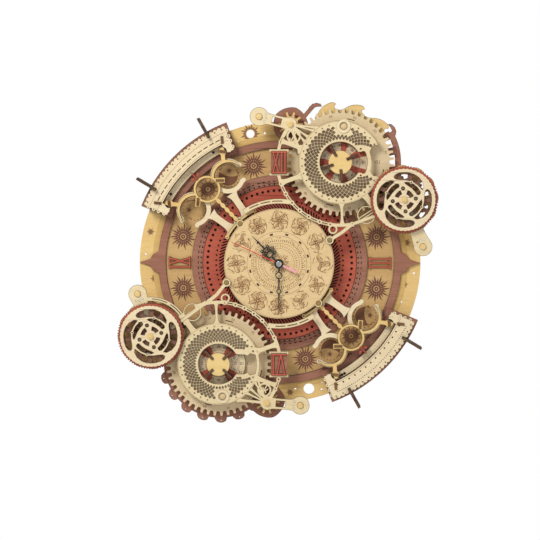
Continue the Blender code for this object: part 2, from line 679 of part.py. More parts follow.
def build_arc(tag, angle, stick_angles):
    """Make one outer scale: backing, inner tier, scale plate and two sticks."""
    low, high = angle - ARC_HALF_SPAN, angle + ARC_HALF_SPAN
    backing = [arc_band(ARC_BACK_IN, ARC_BACK_OUT, low, high)]
    plate(f"{tag}_arc_back", "mauve", COG_BACK, COG_FRONT, backing)
    tier = [arc_band(ARC_TIER_IN, ARC_TIER_OUT - AIR, low + 3.0, high - 3.0)]
    plate(f"{tag}_arc_tier", "pale", HOOK_BACK, HOOK_FRONT, tier)
    scale = [arc_band(ARC_TIER_OUT, ARC_SCALE_OUT, low + 1.0, high - 1.0)]
    for start in (low + 1.0, high - 1.0 - ARC_PAD_SPAN):
        pad = arc_band(ARC_TIER_IN - PLY, ARC_TIER_OUT + PLY, start, start + ARC_PAD_SPAN)
        scale.append(pad)
    slots = []
    for stick in stick_angles:
        slot = bar(polar(STICK_IN - AIR, stick), polar(STICK_OUT, stick), PLY + 2 * AIR)
        slots.append(slot)
    plate(f"{tag}_arc_scale", "pale", DATE_BACK, DATE_FRONT, scale, slots)
    for i, stick in enumerate(stick_angles):
        shape = [bar(polar(STICK_IN, stick), polar(STICK_OUT, stick), PLY)]
        plate(f"{tag}_arc_stick_{i + 1}", "burnt", HOOK_BACK, HOOK_BACK + STICK_DEPTH, shape)


def build_moons(tag, angle, post_angle):
    """Make the moon and sun rings between a scale and the dial."""
    sun = polar(SUN_RADIUS, angle)
    post = polar(DIAL_RADIUS + DIAL_EAR_OFFSET, post_angle)
    clip_in = DIAL_RADIUS + CLIP_CLEAR
    clip_out = clip_in + CLIP_WIDTH
    shapes = [arc_band(clip_in, clip_out, angle - 19.0, angle + 19.0)]
    shapes.append(circle(COLLAR_RADIUS + PLY, post))
    holes = [circle(SUN_RING_IN, sun), circle(POST_RADIUS + AIR, post)]
    moons = [polar(MOON_RADIUS, angle + turn) for turn in (-MOON_SPREAD, MOON_SPREAD)]
    for turn, moon in zip((-MOON_SPREAD, MOON_SPREAD), moons):
        shapes.append(circle(MOON_RING_OUT, moon))
        leg_end = polar(clip_in + CLIP_WIDTH / 2, angle + turn)
        shapes.append(bar(moon, leg_end, LEG_WIDTH))
    shapes.append(circle(SUN_RING_OUT, sun))
    base = plate(f"{tag}_moon_base", "pale", GEAR_BACK, GEAR_FRONT, shapes, holes)
    for moon in moons:
        cut_layer(base, GEAR_BACK - BITE, GEAR_FRONT + BITE, circle(MOON_RING_IN, moon))
    shapes = [circle(SUN_RING_OUT, sun)]
    for turn, moon in zip((-1, 1), moons):
        facing = angle - turn * 90.0
        rim = MOON_RING_IN + CRESCENT_WIDTH
        shapes.append(arc_band(MOON_RING_IN, rim, facing - 105.0, facing + 105.0, moon))
    shapes.append(bar(polar(SUN_RADIUS - SUN_RING_IN, angle), post, PLY))
    shapes.append(circle(COLLAR_RADIUS, post))
    shapes.append(arc_band(clip_in, clip_in + 0.8 * CLIP_WIDTH, angle - 19.0, angle + 19.0))
    plate(f"{tag}_moon_frame", "honey", DATE_BACK, DATE_FRONT, shapes, holes)


def main():
    """Build the whole clock."""
    clear_scene()
    build_base()
    build_numeral("numeral_nine", "IX", 180.0, FACING_BACK)
    build_numeral("numeral_three", "III", 0.0, FACING_BACK)
    build_numeral("numeral_twelve", "XII", 90.0, RING_BACK)
    build_numeral("numeral_six", "VI", -90.0, RING_BACK)
    build_dial()
    upper = Cluster("upper", 1, 142.9, -30.3, 24.0, ((-0.0235, 0.1747), (0.1709, 0.0208)))
    lower = Cluster("lower", -1, -38.6, 157.3, 45.0, ((0.0257, -0.1699), (-0.1693, -0.0366)))
    for group in (upper, lower):
        build_cluster_gears(group)
        build_knob(group)
        build_pins(group)
        build_cog_plate(group)
        build_cover(group)
    build_hook_plate(upper)
    for tag, turn in (("left", 0.0), ("right", 180.0)):
        sticks = (ARC_ANGLE - STICK_SPREAD + turn, ARC_ANGLE + STICK_SPREAD + turn)
        build_arc(tag, ARC_ANGLE + turn, sticks)
    build_moons("left", ARC_ANGLE, 134.3)
    build_moons("right", ARC_ANGLE + 180.0, -45.1)


main()
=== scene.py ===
"""Looks of the round plywood wall clock with two geared calendar clusters.

Every plate is cut as a flat sheet, given its thickness, and dressed with a
wood finish whose cut edges are scorched; the dark line round its front edges
stands for that scorch and for painted edge shade. Sizes are in millimetres
unless a name says otherwise. The wall is behind the clock and the dial
faces -Y.
"""

import json
import logging
import random
from dataclasses import dataclass, field
from enum import Enum
from math import asin, atan2, cos, degrees, hypot, pi, radians, sin

import bpy
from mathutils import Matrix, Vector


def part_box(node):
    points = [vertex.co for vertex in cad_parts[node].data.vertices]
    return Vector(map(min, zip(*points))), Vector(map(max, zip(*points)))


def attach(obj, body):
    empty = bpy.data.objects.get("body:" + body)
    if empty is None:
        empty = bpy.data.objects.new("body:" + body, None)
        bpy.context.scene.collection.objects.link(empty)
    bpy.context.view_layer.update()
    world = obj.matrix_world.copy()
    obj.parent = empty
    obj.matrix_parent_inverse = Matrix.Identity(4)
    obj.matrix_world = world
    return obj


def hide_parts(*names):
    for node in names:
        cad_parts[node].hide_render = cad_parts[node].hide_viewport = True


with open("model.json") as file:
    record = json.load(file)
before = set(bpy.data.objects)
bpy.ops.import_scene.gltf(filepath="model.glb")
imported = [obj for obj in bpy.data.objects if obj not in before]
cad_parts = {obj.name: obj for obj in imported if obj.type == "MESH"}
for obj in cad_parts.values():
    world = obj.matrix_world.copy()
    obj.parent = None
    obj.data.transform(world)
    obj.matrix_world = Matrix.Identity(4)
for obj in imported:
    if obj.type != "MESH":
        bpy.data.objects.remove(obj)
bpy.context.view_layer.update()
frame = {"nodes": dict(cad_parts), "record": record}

LOG = logging.getLogger("clock")
MM = 0.001
BURNT_AND_SHADE_LINE = 0.42  # width of the dark line traced along a pierced plate's edges: scorch and painted edge shade
LIFT = 0.02  # the hair's gap under a piece laid on another
FRAME = "clock_frame"  # the body of everything fixed to the wall
MODULE = 2.575
MONTH_TEETH = 48
IDLER_TEETH = 10
KNOB_TEETH = 20
TOOTH_SHARE = 0.385  # tooth width as a share of the pitch
AXLE_HOLE = 4.3
PIN_HOLE = 2.8
NUMERAL_REACH = 120.6  # from the dial's middle to each numeral, and to the suns beside it
SUN_REACH = 123.6
MOON_REACH = 121.2
MOON_LEAN = 13.65  # degrees from the sun ring to each moon ring
POST_REACH = 66.6
PLATE_LIFT = 0.28  # how far the veneers on the disc reach out from it
LABEL_LIFT = 0.14  # how far the date wheel's sectors stand off it
SKIN = 0.12  # how far printed and engraved marks stand off their plate
SCORCH_AND_SHADE = 0.32  # width of the dark inset line round every cut edge: scorch and painted edge shade

Point = tuple[float, float]
Outline = list[Point]
Stroke = list[Point]
Piece = bpy.types.Object


class Face(Enum):
    """Which material slot a part of a sheet takes."""

    WOOD = 0
    EDGE = 1


class Socket:
    """A shader socket that Python's operators can do sums with."""

    def __init__(self, tree: bpy.types.NodeTree, output: bpy.types.NodeSocket) -> None:
        """Wrap one output socket of a node tree."""
        self.tree = tree
        self.output = output

    def maths(self, operation: str, *values: "Socket | float") -> "Socket":
        """Add a Math node.

        Args:
            operation: The Math node's operation.
            values: Its inputs, as sockets or numbers.

        Returns:
            The node's result.
        """
        node = self.tree.nodes.new("ShaderNodeMath")
        node.operation = operation
        for slot, value in zip(node.inputs, values):
            if isinstance(value, Socket):
                self.tree.links.new(value.output, slot)
            else:
                slot.default_value = value
        return Socket(self.tree, node.outputs[0])

    def __add__(self, other: "Socket | float") -> "Socket":
        """Add."""
        return self.maths("ADD", self, other)

    def __mul__(self, other: "Socket | float") -> "Socket":
        """Multiply."""
        return self.maths("MULTIPLY", self, other)

    def __sub__(self, other: "Socket | float") -> "Socket":
        """Subtract."""
        return self.maths("SUBTRACT", self, other)

    def __rsub__(self, other: float) -> "Socket":
        """Subtract this from a number."""
        return self.maths("SUBTRACT", other, self)

    def __gt__(self, other: float) -> "Socket":
        """Return 1 where this is greater, else 0."""
        return self.maths("GREATER_THAN", self, other)

    __radd__ = __add__
    __rmul__ = __mul__


class Recipe:
    """A node material under construction."""

    def __init__(self, name: str) -> None:
        """Start a material with a bare Principled shader."""
        self.material = bpy.data.materials.new(name)
        self.material.use_nodes = True
        self.tree = self.material.node_tree
        self.shader = self.tree.nodes["Principled BSDF"]

    def node(self, kind: str, settings: dict | None = None, out: int | str = 0, **inputs: object) -> Socket:
        """Add one node.

        Args:
            kind: The node's type without the ShaderNode prefix.
            settings: Attributes set first; "stops" fills a colour ramp.
            out: Which output to return.
            inputs: Socket values or links, by name with spaces as underscores.

        Returns:
            The chosen output.
        """
        made = self.tree.nodes.new("ShaderNode" + kind)
        for key, value in (settings or {}).items():
            if key == "stops":
                ramp = made.color_ramp
                while len(ramp.elements) < len(value):
                    ramp.elements.new(0.5)
                for element, (place, colour) in zip(ramp.elements, value):
                    element.position = place
                    element.color = (*colour, 1.0)
            else:
                setattr(made, key, value)
        for key, value in inputs.items():
            label = key.replace("_", " ")
            slot = next(s for s in made.inputs if s.name == label and s.enabled)
            if isinstance(value, Socket):
                self.tree.links.new(value.output, slot)
            else:
                slot.default_value = value
        return Socket(self.tree, made.outputs[out])

    def blend(self, mask: Socket | float, first: object, second: object, mode: str = "MIX") -> Socket:
        """Mix two colours.

        Args:
            mask: 0 gives the first colour and 1 the second.
            first: A colour or a colour socket.
            second: A colour or a colour socket.
            mode: The Mix node's blend type.

        Returns:
            The mixed colour.
        """
        made = self.tree.nodes.new("ShaderNodeMix")
        made.data_type = "RGBA"
        made.blend_type = mode
        for slot, value in ((made.inputs[0], mask), (made.inputs[6], first), (made.inputs[7], second)):
            if isinstance(value, Socket):
                self.tree.links.new(value.output, slot)
            elif slot is made.inputs[0]:
                slot.default_value = value
            else:
                slot.default_value = (*value, 1.0)
        return Socket(self.tree, made.outputs[2])

    def feed(self, **inputs: object) -> None:
        """Set or link the shader's own sockets, named with underscores."""
        for key, value in inputs.items():
            slot = self.shader.inputs[key.replace("_", " ")]
            if isinstance(value, Socket):
                self.tree.links.new(value.output, slot)
            elif isinstance(value, tuple):
                slot.default_value = (*value, 1.0)
            else:
                slot.default_value = value


class Finish:
    """What every finish can do."""

    def make_edge(self) -> bpy.types.Material:
        """Return the finish of the edges, the same as the face's."""
        return self.make_face()


@dataclass(frozen=True)
class Ply(Finish):
    """Plywood whose face shows long grain, and whose cut edge is burnt."""

    name: str
    face: tuple[float, float, float]
    deep: tuple[float, float, float]
    grain: float = 0.35
    roughness: float = 0.62
    turn: float = 0.0

    def make_face(self) -> bpy.types.Material:
        """Return the finish of the flat faces."""
        pot = Recipe(self.name)
        place = pot.node("TexCoord", out="Object")
        laid = pot.node(
            "Mapping", None, Vector=place, Rotation=(0.0, self.turn, 0.0), Scale=(22.0, 60.0, 330.0)
        )
        fibre = pot.node(
            "TexNoise", None, Vector=laid, Scale=1.0, Detail=5.0, Roughness=0.6, Distortion=0.4
        )
        broad = pot.node(
            "Mapping", None, Vector=place, Rotation=(0.0, self.turn, 0.0), Scale=(7.0, 20.0, 42.0)
        )
        figure = pot.node(
            "TexNoise", None, Vector=broad, Scale=1.0, Detail=3.0, Roughness=0.5, Distortion=0.8
        )
        pore_map = pot.node(
            "Mapping", None, Vector=place, Rotation=(0.0, self.turn, 0.0), Scale=(160.0, 400.0, 1500.0)
        )
        pore = pot.node("TexNoise", None, Vector=pore_map, Scale=1.0, Detail=1.0)
        smoke = pot.node("TexNoise", None, Vector=place, Scale=26.0, Detail=2.0)
        streak = (fibre - 0.38) * (2.6 * self.grain)
        wave = (figure - 0.42) * (2.4 * self.grain)
        tone = pot.blend((streak + wave).maths("MAXIMUM", streak + wave, 0.0), self.face, self.deep)
        flecks = (pore > 0.66) * 0.22
        tone = pot.blend(flecks, tone, tuple(0.45 * c for c in self.deep))
        tone = pot.blend((smoke > 0.7) * 0.06, tone, tuple(0.6 * c for c in self.deep))
        bump = pot.node("Bump", None, Strength=0.25, Distance=0.0002, Height=fibre + pore * 0.5)
        pot.feed(Base_Color=tone, Roughness=self.roughness + (fibre - 0.5) * 0.25, Normal=bump)
        pot.shader.inputs["Specular IOR Level"].default_value = 0.3
        return pot.material

    def make_edge(self) -> bpy.types.Material:
        """Return the finish of the laser-cut edges: brown, with ply layers."""
        pot = Recipe(self.name + "_edge")
        place = pot.node("TexCoord", out="Object")
        layers = pot.node("Mapping", None, Vector=place, Scale=(30.0, 1050.0, 30.0))
        band = pot.node("TexNoise", None, Vector=layers, Scale=1.0, Detail=1.0)
        char = pot.node("TexNoise", None, Vector=place, Scale=180.0, Detail=3.0)
        light = tuple(0.36 * c + 0.02 for c in self.deep)
        dark = tuple(0.10 * c + 0.006 for c in self.deep)
        tone = pot.blend((band * 1.3 + char * 0.5) - 0.35, light, dark)
        bump = pot.node("Bump", None, Strength=0.3, Distance=0.0002, Height=char)
        pot.feed(Base_Color=tone, Roughness=0.8 + (char - 0.5) * 0.2, Normal=bump)
        return pot.material


@dataclass(frozen=True)
class Ink(Finish):
    """A burnt or printed mark on wood; the charred ink also colours a sheet of painted shade."""

    name: str
    colour: tuple[float, float, float]
    roughness: float = 0.85

    def make_face(self) -> bpy.types.Material:
        """Return the mark's finish, darker and lighter in blotches."""
        pot = Recipe(self.name)
        place = pot.node("TexCoord", out="Object")
        blot = pot.node("TexNoise", None, Vector=place, Scale=140.0, Detail=4.0)
        pale = tuple(min(1.0, 1.7 * c) for c in self.colour)
        tone = pot.blend((blot - 0.3) * 1.2, self.colour, pale)
        bump = pot.node("Bump", None, Strength=0.2, Distance=0.0001, Height=blot)
        pot.feed(Base_Color=tone, Roughness=self.roughness + (blot - 0.5) * 0.2, Normal=bump)
        return pot.material


@dataclass(frozen=True)
class Metal(Finish):
    """Enamelled, plated or turned metal, or a moulded plastic."""

    name: str
    colour: tuple[float, float, float]
    metallic: float = 1.0
    roughness: float = 0.3
    coat: float = 0.0

    def make_face(self) -> bpy.types.Material:
        """Return the finish with fine wear in its gloss."""
        pot = Recipe(self.name)
        place = pot.node("TexCoord", out="Object")
        wear = pot.node("TexNoise", None, Vector=place, Scale=300.0, Detail=4.0)
        tone = pot.blend((wear - 0.35) * 0.5, self.colour, tuple(0.7 * c for c in self.colour))
        bump = pot.node("Bump", None, Strength=0.08, Distance=0.00005, Height=wear)
        pot.feed(Base_Color=tone, Roughness=self.roughness + (wear - 0.5) * 0.2, Normal=bump)
        pot.feed(Metallic=self.metallic, Coat_Weight=self.coat)
        return pot.material


class Finishes:
    """Every finish in the clock, each made once and shared."""

    cream = Ply("cream_ply", (0.86, 0.705, 0.425), (0.66, 0.46, 0.22), 0.34)
    pale = Ply("pale_ply", (0.89, 0.73, 0.47), (0.72, 0.53, 0.29), 0.3)
    dial = Ply("dial_ply", (0.83, 0.61, 0.315), (0.64, 0.43, 0.185), 0.3)
    shade = Ink("shade_mark", (0.50, 0.31, 0.145))
    honey = Ply("honey_ply", (0.86, 0.60, 0.24), (0.66, 0.38, 0.11), 0.34)
    band = Ply("band_ply", (0.66, 0.42, 0.17), (0.48, 0.27, 0.10), 0.5)
    amber = Ply("amber_ply", (0.72, 0.47, 0.17), (0.55, 0.31, 0.08), 0.4)
    moon = Ink("moon_mark", (0.19, 0.08, 0.04))
    mauve = Ply("mauve_ply", (0.40, 0.18, 0.115), (0.26, 0.10, 0.06), 0.6)
    red = Ply("red_ply", (0.56, 0.125, 0.07), (0.38, 0.06, 0.035), 0.5)
    taupe = Ply("taupe_ply", (0.88, 0.69, 0.45), (0.62, 0.44, 0.26), 0.5)
    burnt = Ply("burnt_ply", (0.17, 0.09, 0.045), (0.07, 0.03, 0.015), 0.8)
    tooth = Ply("gear_ply", (0.80, 0.63, 0.38), (0.64, 0.46, 0.25), 0.32)
    umber = Ply("umber_ply", (0.30, 0.19, 0.105), (0.13, 0.07, 0.038), 0.8)
    # Darker mauve for the knob wheel: its own dark brown plus painted shade under the knob face.
    dark_shaded_mauve = Ply("dark_shaded_mauve_ply", (0.29, 0.135, 0.085), (0.12, 0.045, 0.028), 0.7)
    bark = Ply("bark_ply", (0.34, 0.235, 0.14), (0.20, 0.125, 0.07), 0.8)
    tab = Ply("tab_ply", (0.26, 0.13, 0.05), (0.10, 0.04, 0.015), 0.8)
    hub = Ply("hub_ply", (0.88, 0.63, 0.26), (0.76, 0.48, 0.16), 0.25)
    face_wood = Ply("turned_wood", (0.80, 0.60, 0.32), (0.60, 0.40, 0.18), 0.4)
    rivet = Ply("rivet_wood", (0.86, 0.62, 0.26), (0.62, 0.40, 0.14), 0.4)
    mark = Ink("burnt_mark", (0.24, 0.11, 0.045))
    # Charred ink for real marks, and for the sheet of painted shade under the pierced rings' holes.
    dark = Ink("charred_mark_and_shade", (0.045, 0.018, 0.010))
    sun = Ink("sun_mark", (0.155, 0.06, 0.035))
    star = Ink("star_mark", (0.24, 0.13, 0.06))
    black = Metal("black_enamel", (0.012, 0.012, 0.014), 0.0, 0.35, 0.4)
    scarlet = Metal("scarlet_enamel", (0.62, 0.035, 0.025), 0.0, 0.35, 0.3)
    pink = Metal("pink_enamel", (0.90, 0.42, 0.42), 0.0, 0.4, 0.2)
    silver = Metal("silver_cap", (0.72, 0.70, 0.66), 1.0, 0.28)
    brass = Metal("brass", (0.66, 0.46, 0.17), 1.0, 0.35)
    case = Metal("case_plastic", (0.020, 0.020, 0.022), 0.0, 0.5)
    cell = Metal("cell_jacket", (0.10, 0.22, 0.42), 0.3, 0.35, 0.3)
    steel = Metal("steel", (0.60, 0.60, 0.58), 1.0, 0.32)

    made: dict[str, bpy.types.Material] = {}

    @classmethod
    def face(cls, look: Ply | Ink | Metal) -> bpy.types.Material:
        """Return the shared face material of a finish."""
        if look.name not in cls.made:
            cls.made[look.name] = look.make_face()
        return cls.made[look.name]

    @classmethod
    def edge(cls, look: Ply | Ink | Metal) -> bpy.types.Material:
        """Return the shared edge material of a finish."""
        key = look.name + "_edge"
        if key not in cls.made:
            cls.made[key] = look.make_edge()
        return cls.made[key]


Look = Ply | Ink | Metal


def polar(radius: float, angle: float, centre: Point = (0.0, 0.0)) -> Point:
    """Return the point at a radius and an angle in degrees about a centre."""
    turn = radians(angle)
    return (centre[0] + radius * cos(turn), centre[1] + radius * sin(turn))


def circle(radius: float, centre: Point = (0.0, 0.0), count: int = 0) -> Outline:
    """Return a circle, with more flats the larger it is."""
    count = count or max(10, min(180, int(radius * 3) + 8))
    return [polar(radius, 360.0 * i / count, centre) for i in range(count)]


def arc(inner: float, outer: float, start: float, end: float, centre: Point = (0.0, 0.0)) -> Outline:
    """Return part of a ring as an outline."""
    count = max(3, int(abs(end - start) * outer / 110.0) + 2)
    steps = [start + (end - start) * i / count for i in range(count + 1)]
    return [polar(outer, a, centre) for a in steps] + [polar(inner, a, centre) for a in reversed(steps)]


def bar(start: Point, end: Point, width: float, taper: float = 1.0) -> Outline:
    """Return a straight bar, its far end taper times as wide."""
    run = hypot(end[0] - start[0], end[1] - start[1])
    x, z = -(end[1] - start[1]) * width / 2 / run, (end[0] - start[0]) * width / 2 / run
    return [
        (start[0] - x, start[1] - z),
        (end[0] - x * taper, end[1] - z * taper),
        (end[0] + x * taper, end[1] + z * taper),
        (start[0] + x, start[1] + z),
    ]


def waist(start: Point, end: Point, wide: float, slim: float) -> Outline:
    """Return a bar that is wide at both ends and slim between.

    Args:
        start: Middle of one end.
        end: Middle of the other.
        wide: Width at the ends.
        slim: Width between.

    Returns:
        The outline.
    """
    run = hypot(end[0] - start[0], end[1] - start[1])
    side = (-(end[1] - start[1]) / run, (end[0] - start[0]) / run)
    rails: tuple[Outline, Outline] = ([], [])
    for i in range(13):
        share = i / 12
        half = slim / 2 + (wide - slim) / 2 * abs(2 * share - 1) ** 4
        x = start[0] + share * (end[0] - start[0])
        z = start[1] + share * (end[1] - start[1])
        rails[0].append((x - half * side[0], z - half * side[1]))
        rails[1].append((x + half * side[0], z + half * side[1]))
    return rails[0] + rails[1][::-1]


def capsule(start: Point, end: Point, width: float) -> Outline:
    """Return a bar with round ends."""
    along = degrees(atan2(end[1] - start[1], end[0] - start[0]))
    head = [polar(width / 2, along - 90.0 + 30.0 * i, end) for i in range(7)]
    tail = [polar(width / 2, along + 90.0 + 30.0 * i, start) for i in range(7)]
    return head + tail


def box(centre: Point, width: float, height: float) -> Outline:
    """Return an upright rectangle."""
    return bar((centre[0] - width / 2, centre[1]), (centre[0] + width / 2, centre[1]), height)


def dots(
    radius: float, size: float, angles: list[float], centre: Point = (0.0, 0.0), count: int = 8
) -> list[Outline]:
    """Return small round holes along an arc."""
    return [circle(size, polar(radius, a, centre), count) for a in angles]


def spread(start: float, end: float, count: int) -> list[float]:
    """Return evenly spaced angles, both ends included."""
    return [start + (end - start) * i / (count - 1) for i in range(count)]


def ring_angles(count: int, phase: float = 0.0) -> list[float]:
    """Return evenly spaced angles round a full turn."""
    return [phase + 360.0 * i / count for i in range(count)]


def sun_outline(centre: Point, body: float, tip: float, rays: int, turn: float = 0.0) -> Outline:
    """Return a many-rayed sun, its rays long and short by turns."""
    points = []
    for i in range(rays):
        middle = turn + 360.0 * i / rays
        reach = tip if i % 2 == 0 else tip * 0.78
        lean = 3.0 if i % 2 == 0 else -3.0
        points.append(polar(body, middle - 176.0 / rays, centre))
        points.append(polar(0.55 * body + 0.45 * reach, middle - 96.0 / rays, centre))
        points.append(polar(reach, middle + lean, centre))
        points.append(polar(0.55 * body + 0.45 * reach, middle + 96.0 / rays, centre))
    return points


def crescent(centre: Point, radius: float, facing: float) -> Outline:
    """Return a crescent whose open side faces the given way."""
    outer = [polar(radius, facing + a, centre) for a in spread(42.0, 318.0, 22)]
    ahead = polar(1.0, facing)
    inner = []
    for x, z in reversed(outer[1:-1]):
        run = ahead[0] * (x - centre[0]) + ahead[1] * (z - centre[1])
        pull = 0.56 * (radius * 0.74 - run)
        inner.append((x + pull * ahead[0], z + pull * ahead[1]))
    return outer + inner


def shifted(outline: Outline, centre: Point) -> Outline:
    """Return an outline moved to its own centre."""
    return [(x + centre[0], z + centre[1]) for x, z in outline]


def mesh_phase(wheel_phase: float, direction: float, teeth: int) -> float:
    """Return the phase that meshes a small gear with the month gear.

    Args:
        wheel_phase: The month gear's own phase.
        direction: The way from the month gear to the small gear.
        teeth: The small gear's teeth.

    Returns:
        The small gear's phase.
    """
    pitch = 360.0 / MONTH_TEETH
    gap = ((wheel_phase + pitch / 2 - direction + pitch / 2) % pitch) - pitch / 2
    return direction + 180.0 - gap * MONTH_TEETH / teeth


def gear_outline(teeth: int, phase: float) -> Outline:
    """Return a spur gear with round gullets and eased tips."""
    pitch_radius = MODULE * teeth / 2
    tip, root = pitch_radius + 0.85 * MODULE, pitch_radius - 1.25 * MODULE
    pitch = 360.0 / teeth
    half = TOOTH_SHARE * pitch / 2
    points = []
    for i in range(teeth):
        middle = phase + i * pitch
        side = [
            (root + 0.9, 1.24), (root + 2.0, 1.08), (pitch_radius, 0.98), (tip - 0.5, 0.82), (tip, 0.60)
        ]
        points.append(polar(root, middle - pitch / 2))
        points.append(polar(root + 0.12, middle - half * 1.62))
        points += [polar(r, middle - half * k) for r, k in side]
        points += [polar(r, middle + half * k) for r, k in reversed(side)]
        points.append(polar(root + 0.12, middle + half * 1.62))
    return points


def scallops(radius: float, depth: float, start: float, end: float, count: int) -> Outline:
    """Return an edge of round scallops along an arc."""
    points = []
    for i in range(count * 6 + 1):
        share = i / (count * 6)
        points.append(
            polar(
                radius - depth + depth * abs(sin(pi * share * count)) ** 0.6,
                start + (end - start) * share
            )
        )
    return points


@dataclass(frozen=True)
class Plain:
    """A ring of a plate whose edges stay free of the dark scorch-and-shade line."""

    centre: Point
    inner: float
    outer: float


class Bench:
    """The maker's tools: each method gives a finished piece."""

    @staticmethod
    def deselect() -> None:
        """Leave edit mode and deselect everything."""
        if bpy.context.mode != "OBJECT":
            bpy.ops.object.mode_set(mode="OBJECT")
        bpy.ops.object.select_all(action="DESELECT")

    @classmethod
    def take(cls, piece: Piece) -> None:
        """Select one piece only and make it active."""
        cls.deselect()
        piece.select_set(True)
        bpy.context.view_layer.objects.active = piece

    @classmethod
    def flat(cls, name: str, outlines: list[Outline]) -> Piece:
        """Fill outlines into a flat sheet; an outline inside another is a hole.

        Args:
            name: The piece's name.
            outlines: Closed outlines that don't cross.

        Returns:
            The flat sheet, lying in the floor's plane.
        """
        curve = bpy.data.curves.new(name, "CURVE")
        curve.dimensions = "2D"
        curve.fill_mode = "BOTH"
        for outline in outlines:
            spline = curve.splines.new("POLY")
            spline.points.add(len(outline) - 1)
            spline.points.foreach_set("co", [v for x, z in outline for v in (x * MM, z * MM, 0.0, 1.0)])
            spline.use_cyclic_u = True
        piece = bpy.data.objects.new(name, curve)
        bpy.context.scene.collection.objects.link(piece)
        cls.take(piece)
        bpy.ops.object.convert(target="MESH")
        return bpy.context.view_layer.objects.active

    @classmethod
    def sheet(cls, name: str, outlines: list[Outline], back: float, front: float) -> Piece:
        """Cut a sheet and give it its thickness.

        Args:
            name: The piece's name.
            outlines: Closed outlines that don't cross.
            back: Depth of the back face from the wall.
            front: Depth of the front face from the wall.

        Returns:
            The upright sheet.
        """
        piece = cls.flat(name, outlines)
        cls.take(piece)
        bpy.ops.object.mode_set(mode="EDIT")
        bpy.ops.mesh.select_all(action="SELECT")
        bpy.ops.mesh.remove_doubles(threshold=0.000002)
        bpy.ops.transform.translate(value=(0.0, 0.0, back * MM))
        bpy.ops.mesh.extrude_region_move(TRANSFORM_OT_translate={"value": (0.0, 0.0, (front - back) * MM)})
        bpy.ops.mesh.select_all(action="SELECT")
        bpy.ops.mesh.normals_make_consistent(inside=False)
        bpy.ops.object.mode_set(mode="OBJECT")
        piece.rotation_euler = (pi / 2, 0.0, 0.0)
        bpy.ops.object.transform_apply(location=True, rotation=True, scale=True)
        return piece

    @classmethod
    def join(cls, name: str, pieces: list[Piece]) -> Piece:
        """Join pieces into one object."""
        cls.deselect()
        for piece in pieces:
            piece.select_set(True)
        bpy.context.view_layer.objects.active = pieces[0]
        if len(pieces) > 1:
            bpy.ops.object.join()
        pieces[0].name = name
        return pieces[0]

    @classmethod
    def combine(cls, base: Piece, tools: list[Piece], operation: str) -> Piece:
        """Weld or cut with several tools in one step.

        Args:
            base: The piece that is kept.
            tools: The pieces that are used up.
            operation: UNION or DIFFERENCE.

        Returns:
            The base.
        """
        if not tools:
            return base
        rack = bpy.data.collections.new("tools")
        for tool in tools:
            rack.objects.link(tool)
        cls.take(base)
        step = base.modifiers.new("saw", "BOOLEAN")
        step.operation = operation
        step.operand_type = "COLLECTION"
        step.collection = rack
        step.solver = "EXACT"
        bpy.ops.object.modifier_apply(modifier=step.name)
        for tool in tools:
            bpy.data.objects.remove(tool, do_unlink=True)
        bpy.data.collections.remove(rack)
        return base

    @classmethod
    def fuse(cls, base: Piece, others: list[Piece]) -> Piece:
        """Weld overlapping sheets of one depth into one plate."""
        return cls.combine(base, others, "UNION")

    @classmethod
    def cut(cls, base: Piece, *tools: Piece) -> Piece:
        """Cut other pieces away from one."""
        return cls.combine(base, list(tools), "DIFFERENCE")

    @classmethod
    def scorch_and_shade(cls, piece: Piece, look: Look, width: float = SCORCH_AND_SHADE) -> Piece:
        """Give a plate its finish and a dark line round every front edge, standing for scorch and painted
        edge shade.

        Args:
            piece: An upright sheet.
            look: Its finish.
            width: Width of the scorch-and-shade line, or 0 for none.

        Returns:
            The same piece.
        """
        piece.data.materials.clear()
        piece.data.materials.append(Finishes.face(look))
        piece.data.materials.append(Finishes.edge(look))
        cls.take(piece)
        for polygon in piece.data.polygons:
            polygon.select = polygon.normal.y < -0.9
            polygon.material_index = Face.EDGE.value if abs(polygon.normal.y) < 0.5 else Face.WOOD.value
        if width > 0:
            before = len(piece.data.polygons)
            bpy.ops.object.mode_set(mode="EDIT")
            bpy.ops.mesh.select_mode(type="FACE")
            # The inset strip takes the edge finish: scorch and painted edge shade.
            bpy.ops.mesh.inset(thickness=width * MM, depth=0.0, use_boundary=True, use_even_offset=False)
            bpy.ops.object.mode_set(mode="OBJECT")
            for polygon in piece.data.polygons:
                if polygon.normal.y < -0.9 and not polygon.select:
                    polygon.material_index = Face.EDGE.value
            LOG.debug("%s %d faces to %d", piece.name, before, len(piece.data.polygons))
        return piece

    @classmethod
    def fit(cls, piece: Piece, look: Look, body: str, slot: str, *nodes: str) -> None:
        """Give a whole piece one finish, and put it on its body.

        Args:
            piece: The finished piece.
            look: Its finish.
            body: The body that it moves with.
            slot: The record's material slot.
            nodes: The CAD nodes that it replaces.
        """
        cls.keep(cls.dress(piece, look), body, slot, *nodes)

    @classmethod
    def lay(
        cls, piece: Piece, look: Look, body: str, slot: str, *nodes: str, width: float = SCORCH_AND_SHADE
    ) -> None:
        """Dress a sheet with a dark line of scorch and painted edge shade, and put it on its body.

        Args:
            piece: The finished sheet.
            look: Its finish.
            body: The body that it moves with.
            slot: The record's material slot.
            nodes: The CAD nodes that it replaces.
            width: Width of the scorch-and-shade line; 0 leaves it out.
        """
        cls.keep(cls.scorch_and_shade(piece, look, width), body, slot, *nodes)

